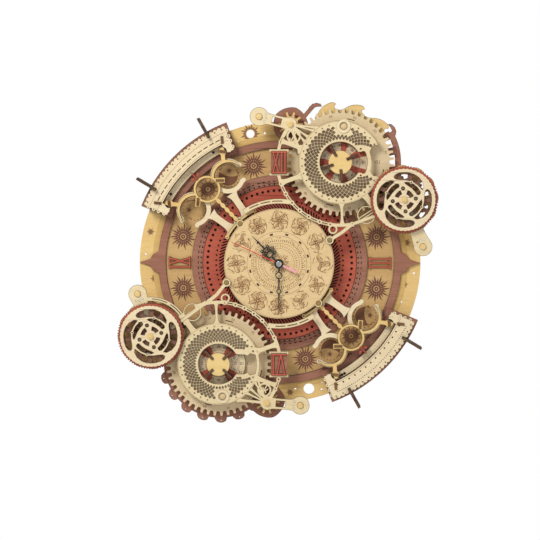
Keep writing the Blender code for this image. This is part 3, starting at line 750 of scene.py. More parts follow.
    @classmethod
    def trace(cls, piece: Piece, look: Look, plain: Plain | None = None) -> Piece:
        """Dress a plate and lay a dark line along its front edges, standing for scorch and painted edge
        shade.

        Args:
            piece: An upright plate.
            look: Its finish.
            plain: A ring of the plate that keeps clean edges.

        Returns:
            The plate with its line.
        """
        cls.scorch_and_shade(piece, look, 0.0)
        facing: dict[tuple[int, int], list[float]] = {}
        for polygon in piece.data.polygons:
            polygon.select = False
            for key in polygon.edge_keys:
                facing.setdefault(key, []).append(polygon.normal.y)
        for vertex in piece.data.vertices:
            vertex.select = False
        for edge in piece.data.edges:
            sides = facing.get(edge.key, [0.0])
            edge.select = min(sides) < -0.9 and max(sides) > -0.5
            if plain:
                end = piece.data.vertices[edge.vertices[0]].co / MM
                reach = hypot(end.x - plain.centre[0], end.z - plain.centre[1])
                edge.select = edge.select and not plain.inner < reach < plain.outer
        bpy.ops.object.mode_set(mode="EDIT")
        bpy.ops.mesh.select_mode(type="EDGE")
        bpy.ops.mesh.duplicate()
        bpy.ops.mesh.separate(type="SELECTED")
        bpy.ops.object.mode_set(mode="OBJECT")
        wire = next(thing for thing in bpy.context.selected_objects if thing is not piece)
        cls.take(wire)
        bpy.ops.object.convert(target="CURVE")
        # The wire is the dark edge line: scorch and painted edge shade.
        wire.data.bevel_depth = BURNT_AND_SHADE_LINE * MM / 2
        wire.data.bevel_resolution = 0
        bpy.ops.object.convert(target="MESH")
        wire.data.materials.clear()
        for finish in (Finishes.face(look), Finishes.edge(look)):
            wire.data.materials.append(finish)
        for polygon in wire.data.polygons:
            polygon.material_index = Face.EDGE.value
        return cls.join(piece.name, [piece, wire])

    @classmethod
    def lines(
        cls, name: str, strokes: list[Stroke], width: float, depth: float, closed: bool = False
    ) -> Piece:
        """Lay fine wire along strokes, half sunk at a depth.

        Args:
            name: The piece's name.
            strokes: Runs of points.
            width: Width of the line.
            depth: Depth of the line's middle from the wall.
            closed: Whether each run closes on itself.

        Returns:
            The line work as one mesh.
        """
        curve = bpy.data.curves.new(name, "CURVE")
        curve.dimensions = "3D"
        curve.bevel_depth = width * MM / 2
        curve.bevel_resolution = 0
        curve.use_fill_caps = True
        for stroke in strokes:
            spline = curve.splines.new("POLY")
            spline.points.add(len(stroke) - 1)
            spline.points.foreach_set(
                "co", [v for x, z in stroke for v in (x * MM, -depth * MM, z * MM, 1.0)]
            )
            spline.use_cyclic_u = closed
        piece = bpy.data.objects.new(name, curve)
        bpy.context.scene.collection.objects.link(piece)
        cls.take(piece)
        bpy.ops.object.convert(target="MESH")
        return bpy.context.view_layer.objects.active

    @classmethod
    def numbers(cls, name: str, text: str, size: float, centre: Point, turn: float, depth: float) -> Piece:
        """Cut a number as a thin raised mark.

        Args:
            name: The piece's name.
            text: The digits.
            size: Height of the digits.
            centre: Where the number stands.
            turn: Its turn in degrees.
            depth: Depth of the plate's front from the wall.

        Returns:
            The number as a mesh.
        """
        curve = bpy.data.curves.new(name, "FONT")
        curve.body = text
        curve.size = size * MM
        curve.align_x = "CENTER"
        curve.align_y = "CENTER"
        curve.extrude = SKIN * MM
        curve.resolution_u = 2
        piece = bpy.data.objects.new(name, curve)
        bpy.context.scene.collection.objects.link(piece)
        cls.take(piece)
        bpy.ops.object.convert(target="MESH")
        piece = bpy.context.view_layer.objects.active
        piece.rotation_euler = (pi / 2, -radians(turn), 0.0)
        piece.rotation_mode = "XYZ"
        piece.location = (centre[0] * MM, -depth * MM, centre[1] * MM)
        bpy.ops.object.transform_apply(location=True, rotation=True, scale=True)
        return piece

    @classmethod
    def pin(
        cls, name: str, radius: float, back: float, front: float, centre: Point, ease: float = 0.3
    ) -> Piece:
        """Turn a pin or rivet with an eased rim.

        Args:
            name: The piece's name.
            radius: Its radius.
            back: Depth of its foot from the wall.
            front: Depth of its head from the wall.
            centre: The axis.
            ease: How much the head's rim is eased.

        Returns:
            The pin.
        """
        cls.deselect()
        middle = (centre[0] * MM, -(back + front) / 2 * MM, centre[1] * MM)
        bpy.ops.mesh.primitive_cylinder_add(
            vertices=24,
            radius=radius * MM,
            depth=(front - back) * MM,
            location=middle,
            rotation=(pi / 2, 0.0, 0.0),
        )
        piece = bpy.context.view_layer.objects.active
        piece.name = name
        bpy.ops.object.transform_apply(location=True, rotation=True, scale=True)
        for polygon in piece.data.polygons:
            polygon.select = polygon.normal.y < -0.9
        bpy.ops.object.mode_set(mode="EDIT")
        bpy.ops.mesh.select_mode(type="FACE")
        bpy.ops.mesh.bevel(offset=ease * MM, segments=2, affect="EDGES")
        bpy.ops.mesh.select_all(action="SELECT")
        bpy.ops.mesh.normals_make_consistent(inside=False)
        bpy.ops.object.mode_set(mode="OBJECT")
        bpy.ops.object.shade_smooth_by_angle(angle=radians(35.0))
        return piece

    @classmethod
    def dress(cls, piece: Piece, look: Look) -> Piece:
        """Give a whole piece one finish."""
        piece.data.materials.clear()
        piece.data.materials.append(Finishes.face(look))
        return piece

    @classmethod
    def keep(cls, piece: Piece, body: str, slot: str, *nodes: str) -> Piece:
        """Put a piece on its body and hide the CAD nodes that it replaces.

        Args:
            piece: The finished piece.
            body: The body that it moves with.
            slot: The record's material slot; not used.
            nodes: The CAD nodes that it replaces.

        Returns:
            The same piece.
        """
        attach(piece, body)
        if nodes:
            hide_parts(*nodes)
        LOG.info("%s: %d faces on %s", piece.name, len(piece.data.polygons), body)
        return piece


def levels(node: str) -> tuple[float, float]:
    """Return the depths of a CAD node's back and front, in millimetres."""
    low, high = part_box(node)
    return (-high[1] / MM, -low[1] / MM)


def axis_of(joint: str) -> Point:
    """Return where a joint's axis stands, in millimetres."""
    found = next(j for j in frame["record"]["behaviour"]["joints"] if j["name"] == joint)
    return (found["pos_m"][0] / MM, found["pos_m"][2] / MM)


def strokes_of(text: str, width: float, height: float, line: float) -> list[tuple[Point, Point]]:
    """Return the strokes of a numeral with bars along its top and foot."""
    shares = {"I": 0.36, "X": 1.0, "V": 1.0}
    scale = width / sum(shares[c] for c in text)
    half = height / 2
    found: list[tuple[Point, Point]] = []
    left = -width / 2
    for char in text:
        right = left + shares[char] * scale
        middle = (left + right) / 2
        if char == "I":
            found.append(((middle, -half), (middle, half)))
        if char == "X":
            found.append(((left + line, -half), (right - line, half)))
            found.append(((right - line, -half), (left + line, half)))
        if char == "V":
            found.append(((left + line, half), (middle, -half)))
            found.append(((right - line, half), (middle, -half)))
        left = right
    edge = half - line / 3
    return found + [((-width / 2, edge), (width / 2, edge)), ((-width / 2, -edge), (width / 2, -edge))]


@dataclass
class Numeral:
    """One red Roman numeral whose top points away from the dial."""

    node: str
    text: str
    angle: float
    width: float = 14.6
    height: float = 25.4
    line: float = 1.9
    radius: float = NUMERAL_REACH
    backed: bool = False

    def spot(self, point: Point) -> Point:
        """Turn a point on the letter into a point on the clock."""
        up = polar(1.0, self.angle)
        x, z = polar(self.radius, self.angle)
        return (x + point[0] * up[1] + point[1] * up[0], z - point[0] * up[0] + point[1] * up[1])

    def build(self) -> None:
        """Cut the strokes in red over a slightly wider charred recess."""
        back, front = levels(self.node)
        found = strokes_of(self.text, self.width, self.height, self.line)
        if self.backed:
            panel = [box(self.spot((0.0, 0.0)), self.width + 1.0, self.height + 1.0)]
            board = Bench.sheet(f"{self.node}_board", panel, back + LIFT, back + 0.5)
            Bench.lay(board, Finishes.mauve, FRAME, "mauve", width=0.0)
        layers = ((0.0, back + LIFT, front - 0.9, Finishes.dark), (-1.0, front - 0.9, front, Finishes.red))
        for extra, low, high, look in layers:
            line = self.line + 0.9 + extra
            bars = [bar(self.spot(a), self.spot(b), line) for a, b in found]
            sheets = [Bench.sheet(f"{self.node}_stroke", [shape], low, high) for shape in reversed(bars)]
            piece = Bench.fuse(sheets[0], sheets[1:])
            raised = look is Finishes.red
            piece.name = self.node + ("_strokes" if raised else "_recess")
            Bench.scorch_and_shade(piece, look, 0.0)
            Bench.keep(piece, FRAME, "red", *([self.node] if raised else []))


@dataclass
class BackPlate:
    """The honey disc on the wall, with its facings, suns and stars."""

    radius: float = 169.2
    ring: tuple[float, float] = (137.4, 146.4)
    band: tuple[float, float] = (92.7, 105.6)
    red: tuple[float, float] = (60.6, 92.4)
    star_hole: tuple[float, float, float] = (-35.2, 154.7, 4.8)
    moon_hole: tuple[float, float, float] = (35.5, -153.0, 6.5)
    keyhole: tuple[float, float, float, float] = (118.0, 4.8, 4.6, 129.0)
    case_side: float = 57.0
    sun_radius: float = NUMERAL_REACH
    stars: tuple[Point, ...] = (
        (-155.9, 37.0), (-151.7, -19.4), (152.6, 24.5), (149.9, -25.6), (12.8, -157.2)
    )
    specks: tuple[Point, ...] = (
        (-162.2, 9.6), (161.6, -12.5), (146.4, -46.9), (50.8, -144.7),
        (50.8, -153.7), (19.1, -153.0), (-18.0, 155.4), (-49.3, 144.6),
    )

    def build(self) -> None:
        """Make the disc, then everything that lies on it."""
        self.make_disc()
        self.make_outer_ring()
        self.make_inner_rings()
        self.make_veneers()
        self.make_marks()

    def nail_hole(self) -> Outline:
        """Return the keyhole that the nail goes through."""
        height, radius, slot, top = self.keyhole
        lift = degrees(asin(slot / 2 / radius))
        points = [polar(radius, a, (0.0, height)) for a in spread(90.0 + lift, 450.0 - lift, 24)]
        return points + [(slot / 2, top), (-slot / 2, top)]

    def round_holes(self) -> list[Outline]:
        """Return the two round windows."""
        return [circle(hole[2], hole[:2], 36) for hole in (self.star_hole, self.moon_hole)]

    def make_disc(self) -> None:
        """Cut the disc itself."""
        back, front = levels("back_plate")
        outlines = [circle(self.radius, count=180), box((0.0, 0.0), self.case_side, self.case_side)]
        outlines += self.round_holes() + [self.nail_hole()]
        outlines += [circle(1.3, spot, 12) for spot in self.specks]
        piece = Bench.sheet("back_plate_disc", outlines, back, front)
        Bench.scorch_and_shade(piece, Finishes.honey)
        Bench.keep(piece, FRAME, "honey", "back_plate")

    def spike(self, side: float) -> Outline:
        """Return one side of the ring's edge: two lobes and a spike."""
        reach = self.radius - 0.1
        half = [
            (self.ring[1] - 0.7, -13.4), (149.6, -11.4), (153.0, -9.4), (155.0, -6.4), (155.6, -4.4),
            (161.4, -2.4)
        ]
        points = half + [(reach, 0.0)] + [(x, -z) for x, z in reversed(half)]
        return [(side * x, side * z) for x, z in points]

    def make_outer_ring(self) -> None:
        """Cut the mauve ring with its two lobed spikes."""
        back, front = levels("outer_ring")
        inner, outer = self.ring
        edge: Outline = []
        for side, start in ((1.0, 6.4), (-1.0, 186.4)):
            edge += self.spike(side) + [polar(outer, a) for a in spread(start, start + 167.2, 84)]
        piece = Bench.sheet("outer_ring_band", [edge, circle(inner, count=180)], back, front)
        Bench.lay(piece, Finishes.mauve, FRAME, "mauve", "outer_ring")

    def make_inner_rings(self) -> None:
        """Cut the pierced mauve band and the pierced red ring."""
        back, front = levels("inner_band")
        inner, outer = self.band
        outlines = [circle(outer, count=150), circle(inner, count=150)]
        outlines += dots(inner + 1.9, 0.78, ring_angles(96))
        outlines += [bar(polar(98.2, a - 0.7), polar(98.2, a + 0.7), 0.7) for a in ring_angles(96)]
        piece = Bench.scorch_and_shade(Bench.sheet("inner_band_pierced", outlines, back, front), Finishes.mauve)
        Bench.keep(piece, FRAME, "mauve", "inner_band")
        inner, outer = self.red
        outlines = [circle(outer, count=150), circle(inner, count=120)]
        outlines += dots(86.8, 1.55, ring_angles(80), count=12)
        outlines += dots(76.4, 1.0, ring_angles(80, 2.25), count=9)
        outlines += [capsule(polar(66.2, a - 2.2), polar(72.4, a + 1.4), 1.35) for a in ring_angles(120)]
        piece = Bench.scorch_and_shade(Bench.sheet("red_ring_pierced", outlines, back, front), Finishes.red, 0.22)
        Bench.keep(piece, FRAME, "red", "red_ring")

    def make_veneers(self) -> None:
        """Lay the dark backing of painted shade under the rings' holes, the sun band and the amber strip.
        """
        front = levels("back_plate")[1]
        # Painted shade: this dark sheet lies under the pierced rings so that their holes read dark.
        char = Bench.sheet("hole_shade_backing", [circle(105.2), circle(61.4)], front + LIFT, front + 0.26)
        Bench.lay(char, Finishes.dark, FRAME, "burnt", width=0.0)
        band = Bench.sheet(
            "sun_band", [circle(137.2, count=180), circle(105.8, count=160)], front + LIFT,
            front + PLATE_LIFT
        )
        nail = Bench.sheet("nail_way", [self.nail_hole()], front - 1.0, front + 1.0)
        Bench.cut(band, nail)
        Bench.lay(band, Finishes.band, FRAME, "honey", width=0.0)
        amber = Bench.sheet(
            "amber_strip", [circle(153.4, count=180), circle(146.6, count=180)], front + LIFT,
            front + PLATE_LIFT
        )
        window = Bench.sheet("window_way", [circle(7.2, self.moon_hole[:2], 36)], front - 1.0, front + 1.0)
        Bench.cut(amber, window)
        Bench.lay(amber, Finishes.amber, FRAME, "honey", width=0.0)

    def make_marks(self) -> None:
        """Burn the suns, moons and stars into the plate."""
        top = levels("back_plate")[1] + PLATE_LIFT
        outlines = []
        for quarter in range(4):
            for lean in (-15.0, 15.0):
                spot = polar(self.sun_radius, 90.0 * quarter + lean)
                outlines.append(sun_outline(spot, 8.0, 17.0, 22, 90.0 * quarter))
                outlines += dots(6.4, 0.55, ring_angles(16), spot, 6)
                outlines += [circle(3.6, spot, 20), circle(2.6, spot, 16), circle(0.9, spot, 8)]
        piece = Bench.sheet("sun_marks", outlines, top, top + SKIN)
        Bench.lay(piece, Finishes.sun, FRAME, "mauve", width=0.0)
        outlines = []
        for turn in (134.3, -45.7):
            spot = polar(SUN_REACH, turn)
            outlines += [sun_outline(spot, 7.4, 13.0, 24, turn)] + dots(5.6, 0.5, ring_angles(14), spot, 6)
            outlines += [circle(3.0, spot, 16), circle(1.2, spot, 8)]
            for lean in (-MOON_LEAN, MOON_LEAN):
                spot = polar(MOON_REACH, turn + lean)
                outlines.append(crescent(spot, 11.6, turn + 4.0 * lean))
                outlines.append(sun_outline(polar(6.4, turn + 4.0 * lean, spot), 1.4, 4.2, 10))
                rays = [polar(13.4, a, spot) for a in ring_angles(20)]
                outlines += [circle(0.7, ray, 6) for ray in rays]
        piece = Bench.sheet("moon_marks", outlines, top, top + SKIN)
        Bench.lay(piece, Finishes.moon, FRAME, "mauve", width=0.0)
        front = levels("back_plate")[1]
        outlines = [sun_outline(self.star_hole[:2], 7.4, 12.4, 18), circle(5.4, self.star_hole[:2], 30)]
        outlines += [sun_outline(spot, 2.2, 5.2, 12) for spot in self.stars]
        piece = Bench.sheet("star_marks", outlines, front, front + SKIN)
        Bench.lay(piece, Finishes.star, FRAME, "honey", width=0.0)


@dataclass
class Dial:
    """The engraved dial plate, its posts, its movement and its hands."""

    radius: float = 66.0
    ear: float = 4.8
    ear_angles: tuple[float, ...] = (134.3, 25.2, 199.8, -45.1)
    shaft_hole: float = 4.2
    marks: list[Stroke] = field(default_factory=list)

    def build(self) -> None:
        """Make the plate, then its engraving, the movement and the hands."""
        back, front = levels("dial_plate")
        sheets = [
            Bench.sheet("dial_face", [circle(self.radius, count=150), circle(self.shaft_hole)], back, front)
        ]
        ears = [polar(self.radius + 0.6, a) for a in self.ear_angles]
        sheets += [Bench.sheet("dial_ear", [circle(self.ear, ear, 28)], back, front) for ear in ears]
        piece = Bench.scorch_and_shade(Bench.fuse(sheets[0], sheets[1:]), Finishes.dial)
        Bench.keep(piece, FRAME, "cream", "dial_plate")
        self.engrave(front)
        self.make_screws(ears, front)
        self.make_movement()
        self.make_hands()

    def engrave(self, front: float) -> None:
        """Burn the rings, the ticks and twelve plain rosettes into the dial."""
        thin, thick = [], []
        for radius in (38.2, 18.2, 24.4, 33.0, 64.9):
            thin.append([polar(radius, a) for a in ring_angles(96)])
        rings = Bench.lines("dial_rings", thin, 0.34, front, closed=True)
        Bench.fit(rings, Finishes.mark, FRAME, "burnt")
        draw = random.Random(12)
        glyphs = []
        for angle in ring_angles(72, 1.0):
            base = 26.6 + draw.uniform(-0.3, 0.3)
            lean = draw.uniform(-1.0, 1.0)
            glyphs.append([polar(base, angle), polar(base + draw.uniform(1.6, 3.8), angle + lean)])
            if draw.random() < 0.6:
                glyphs.append([polar(base + 1.6, angle - 1.0), polar(base + 1.9, angle + 1.6)])
        for angle in ring_angles(90, 2.0):
            if draw.random() < 0.7:
                glyphs.append(
                    [
                        polar(30.2, angle),
                        polar(30.2 + draw.uniform(0.8, 2.2), angle + draw.uniform(-2.0, 2.0))
                    ]
                )
        for angle in ring_angles(48, 3.0):
            base = 20.0 + draw.uniform(-0.2, 0.4)
            glyphs.append(
                [polar(base, angle), polar(base + draw.uniform(1.4, 2.8), angle + draw.uniform(-1.5, 1.5))]
            )
        shades = []
        for number in range(12):
            strokes = self.rosette(number, draw)
            shades += [stroke for stroke in strokes if len(stroke) == 2]
            glyphs += strokes
        for angle in ring_angles(40, 2.0):
            start = draw.uniform(6.0, 9.0)
            glyphs.append(
                [polar(start, angle), polar(start + draw.uniform(1.5, 6.0), angle + draw.uniform(-9, 9))]
            )
        tint = Bench.lines("dial_shading", shades, 2.3, front)
        Bench.fit(tint, Finishes.shade, FRAME, "burnt")
        work = Bench.lines("dial_engraving", glyphs, 0.52, front + SKIN)
        Bench.fit(work, Finishes.mark, FRAME, "burnt")
        for angle in ring_angles(12, 15.0):
            thick.append(bar(polar(35.6, angle - 3.0), polar(35.6, angle + 3.0), 2.1))
        piece = Bench.sheet("dial_ticks", thick, front, front + SKIN)
        Bench.lay(piece, Finishes.dark, FRAME, "burnt", width=0.0)

    @staticmethod
    def rosette(number: int, draw: random.Random) -> list[Stroke]:
        """Return one plain rosette of loops, leaves and dots.

        Args:
            number: Which of the twelve it is; it sets the petals.
            draw: The seeded source of its small irregularities.

        Returns:
            The strokes.
        """
        centre = polar(51.2, 30.0 * number)
        petals = 3 + number % 5
        strokes = []
        for i in range(petals):
            lean = 360.0 * i / petals + 17.0 * number
            reach = draw.uniform(8.6, 11.4)
            middle = polar(reach * 0.55, lean, centre)
            wide, narrow = reach * 0.46, reach * draw.uniform(0.16, 0.30)
            loop = []
            for a in range(0, 361, 24):
                u, v = wide * cos(radians(a)), narrow * sin(radians(a))
                c, s = cos(radians(lean)), sin(radians(lean))
                loop.append((middle[0] + u * c - v * s, middle[1] + u * s + v * c))
            strokes.append(loop)
            vein = [polar(reach * 0.2, lean, centre), polar(reach * 0.9, lean + 6.0, centre)]
            strokes.append(vein)
            curl = [polar(reach + 0.5 - 0.22 * k, lean + 20.0 + 11.0 * k, centre) for k in range(5)]
            strokes.append(curl)
        for _ in range(20):
            start, angle = draw.uniform(5.5, 12.4), draw.uniform(0.0, 360.0)
            bend = draw.uniform(-9.0, 9.0)
            strokes.append([polar(start + 0.3 * k, angle + bend * k, centre) for k in range(4)])
        core = draw.uniform(1.2, 2.4)
        strokes.append([polar(core, a, centre) for a in range(0, 361, 30)])
        spiral = [polar(core + 0.32 * k, 38.0 * k + 30.0 * number, centre) for k in range(12)]
        strokes.append(spiral)
        return strokes

    def make_screws(self, ears: list[Point], front: float) -> None:
        """Fit a slotted brass screw head over each of the dial's posts."""
        for i, ear in enumerate(ears):
            covered = i in (1, 2)
            foot = levels("upper_cover")[1] if covered else front
            disc = Bench.pin("screw_disc", 2.2, foot + LIFT, foot + 0.55, ear, 0.05)
            slot = bar(polar(-1.6, 30.0 * i, ear), polar(1.6, 30.0 * i, ear), 0.6)
            rim = Bench.sheet("screw_rim", [circle(2.2, ear, 24), slot], foot + 0.55, foot + 0.9)
            head = Bench.dress(Bench.join(f"dial_screw_{i + 1}", [disc, rim]), Finishes.brass)
            Bench.keep(head, FRAME, "brass")
            washer = Bench.sheet(
                f"dial_screw_ring_{i + 1}", [circle(3.1, ear, 24), circle(2.5, ear, 20)], foot,
                foot + SKIN
            )
            Bench.lay(washer, Finishes.dark, FRAME, "burnt", width=0.0)

    def make_movement(self) -> None:
        """Mould the movement's case round its cell, with ribs."""
        back, front = levels("movement_case")
        side = 56.0
        body = Bench.sheet("movement_body", [self.rounded(side, side, 3.0)], back, front)
        bay = Bench.sheet("bay", [self.rounded(50.2, 14.7, 0.8, (0.0, -15.0))], back - 1.0, front - 0.9)
        Bench.cut(body, bay)
        Bench.dress(body, Finishes.case)
        Bench.keep(body, FRAME, "plastic", "movement_case")
        ribs = [[(x, -15.0 + 8.6), (x, 24.0)] for x in (-24.0, -18.0, -12.0, -6.0, 24.0)]
        ribs += [
            [(-24.0, 24.0), (24.0, 24.0)], [(-24.0, -6.0), (24.0, -6.0)],
            [(-24.0, -24.5), (24.0, -24.5)]
        ]
        work = Bench.lines("movement_ribs", ribs, 0.7, back + 0.1)
        Bench.fit(work, Finishes.case, FRAME, "plastic")
        rim = Bench.lines(
            "setting_rim", [[polar(7.2, a, (12.0, 14.0)) for a in ring_angles(32)]], 0.7, back + 0.1,
            True
        )
        Bench.fit(rim, Finishes.case, FRAME, "plastic")
        knob_back, knob_front = levels("set_knob")
        knurl = [polar(5.45 if i % 2 else 4.95, 360.0 * i / 48, (12.0, 14.0)) for i in range(48)]
        knob = Bench.sheet("setting_knob", [knurl], knob_back, knob_front)
        Bench.fit(knob, Finishes.steel, "set_knob", "plastic", "set_knob")
        for node, look, slot in (
            ("battery", Finishes.cell, "cell"), ("movement_bush", Finishes.brass, "brass")
        ):
            frame["nodes"][node].data.materials.clear()
            frame["nodes"][node].data.materials.append(Finishes.face(look))
            LOG.info("%s keeps its solid, slot %s", node, slot)

    @staticmethod
    def rounded(width: float, height: float, radius: float, centre: Point = (0.0, 0.0)) -> Outline:
        """Return a rectangle with round corners."""
        points = []
        for i, (sx, sz) in enumerate(((1, 1), (-1, 1), (-1, -1), (1, -1))):
            corner = (centre[0] + sx * (width / 2 - radius), centre[1] + sz * (height / 2 - radius))
            points += [polar(radius, 90.0 * i + a, corner) for a in (0.0, 30.0, 60.0, 90.0)]
        return points

    def make_hands(self) -> None:
        """Stamp the two scrolled hands and the thin sweep hand."""
        self.scroll_hand("hour_hand", 134.0, 46.2, ((15.5, 4.4), (22.5, 3.4)), True)
        self.scroll_hand("minute_hand", -90.0, 61.5, ((13.9, 4.3), (32.9, 3.1)), False)
        back, front = levels("second_hand")
        blade = [bar(polar(0.0, 155.4), polar(62.3, 155.4), 1.5, 0.45)]
        sheets = [Bench.sheet("sweep_blade", blade, back, front)]
        sheets.append(Bench.sheet("sweep_hub", [circle(4.4, count=30)], back, front))
        piece = Bench.dress(Bench.fuse(sheets[0], sheets[1:]), Finishes.scarlet)
        piece.name = "sweep_hand"
        Bench.keep(piece, "second_hand", "redm", "second_hand")
        tail = Bench.sheet(
            "sweep_tail", [bar(polar(4.2, -24.6), polar(23.2, -24.6), 2.2, 1.7)], back + LIFT,
            front - LIFT
        )
        Bench.fit(tail, Finishes.pink, "second_hand", "redm")
        ring = Bench.sheet("hub_ring", [circle(5.4, count=36)], front - 0.5, front + 0.1)
        Bench.fit(ring, Finishes.black, "second_hand", "black")
        cap = Bench.pin("hub_cap", 3.3, front, front + 1.0, (0.0, 0.0), 0.4)
        Bench.fit(cap, Finishes.silver, "second_hand", "brass")

    def scroll_hand(self, node: str, angle: float, length: float, loops: tuple, ornate: bool) -> None:
        """Stamp one black hand with loops along its blade.

        Args:
            node: The CAD node and body that it stands for.
            angle: Where it points.
            length: From the shaft to its tip.
            loops: Where each loop stands and its radius.
            ornate: Whether side scrolls flank the loops.
        """
        back, front = levels(node)
        hub = [circle(4.5, count=32), circle(1.55, count=16)]
        sheets = [Bench.sheet(node + "_plate", hub, back, front)]
        sheets.append(
            Bench.sheet(
                "blade",
                [bar(polar(loops[-1][0] + loops[-1][1] - 0.5, angle), polar(length, angle), 2.0, 0.18)],
                back, front
            )
        )
        sheets.append(
            Bench.sheet(
                "neck", [bar(polar(4.0, angle), polar(loops[0][0] - loops[0][1] + 0.5, angle), 1.7)],
                back, front
            )
        )
        for reach, radius in loops:
            spot = polar(reach, angle)
            sheets.append(
                Bench.sheet(
                    "loop", [circle(radius, spot, 24), circle(radius - 1.15, spot, 20)], back, front
                )
            )
        gap_start = polar(loops[0][0] + loops[0][1] - 0.5, angle)
        gap_end = polar(loops[1][0] - loops[1][1] + 0.5, angle)
        if hypot(gap_end[0] - gap_start[0], gap_end[1] - gap_start[1]) > 1.2 and not ornate:
            sheets.append(Bench.sheet("waist", [bar(gap_start, gap_end, 1.7)], back, front))
        if ornate:
            for reach, side, radius in ((13.0, 5.6, 2.5), (18.8, 6.4, 2.9), (24.4, 4.3, 2.2)):
                for way in (1, -1):
                    foot = polar(reach, angle)
                    spot = (
                        foot[0] + way * side * cos(radians(angle + 90)),
                        foot[1] + way * side * sin(radians(angle + 90))
                    )
                    ringed = [circle(radius, spot, 20), circle(radius - 1.0, spot, 16)]
                    sheets.append(Bench.sheet("scroll", ringed, back, front))
                    sheets.append(
                        Bench.sheet("link", [bar(foot, (spot[0] + 0.01, spot[1]), 1.0)], back, front)
                    )
        piece = Bench.dress(Bench.fuse(sheets[0], sheets[1:]), Finishes.black)
        piece.name = node + "_plate"
        Bench.keep(piece, node, "black", node)


@dataclass
class Plan:
    """A plate being drawn: sheets to weld, then sheets to cut away."""

    name: str
    back: float
    front: float
    sheets: list[list[Outline]] = field(default_factory=list)
    cuts: list[list[Outline]] = field(default_factory=list)
    plain: Plain | None = None

    def add(self, *outlines: Outline) -> None:
        """Add one sheet; outlines after the first are holes in it."""
        self.sheets.append(list(outlines))

    def cut(self, *outlines: Outline) -> None:
        """Cut these outlines, which don't cross, from the whole plate."""
        self.cuts.append(list(outlines))

    def make(self, look: Look) -> Piece:
        """Cut, weld and dress the plate.

        Args:
            look: Its finish.

        Returns:
            The plate.
        """
        cut_out = [Bench.sheet(self.name + "_part", shape, self.back, self.front) for shape in self.sheets]
        plate = Bench.fuse(cut_out[0], cut_out[1:])
        ends = (self.back - 1.0, self.front + 1.0)
        tools = [Bench.sheet(self.name + "_cut", shape, *ends) for shape in self.cuts]
        Bench.cut(plate, *tools)
        plate.name = self.name
        return Bench.trace(plate, look, self.plain)


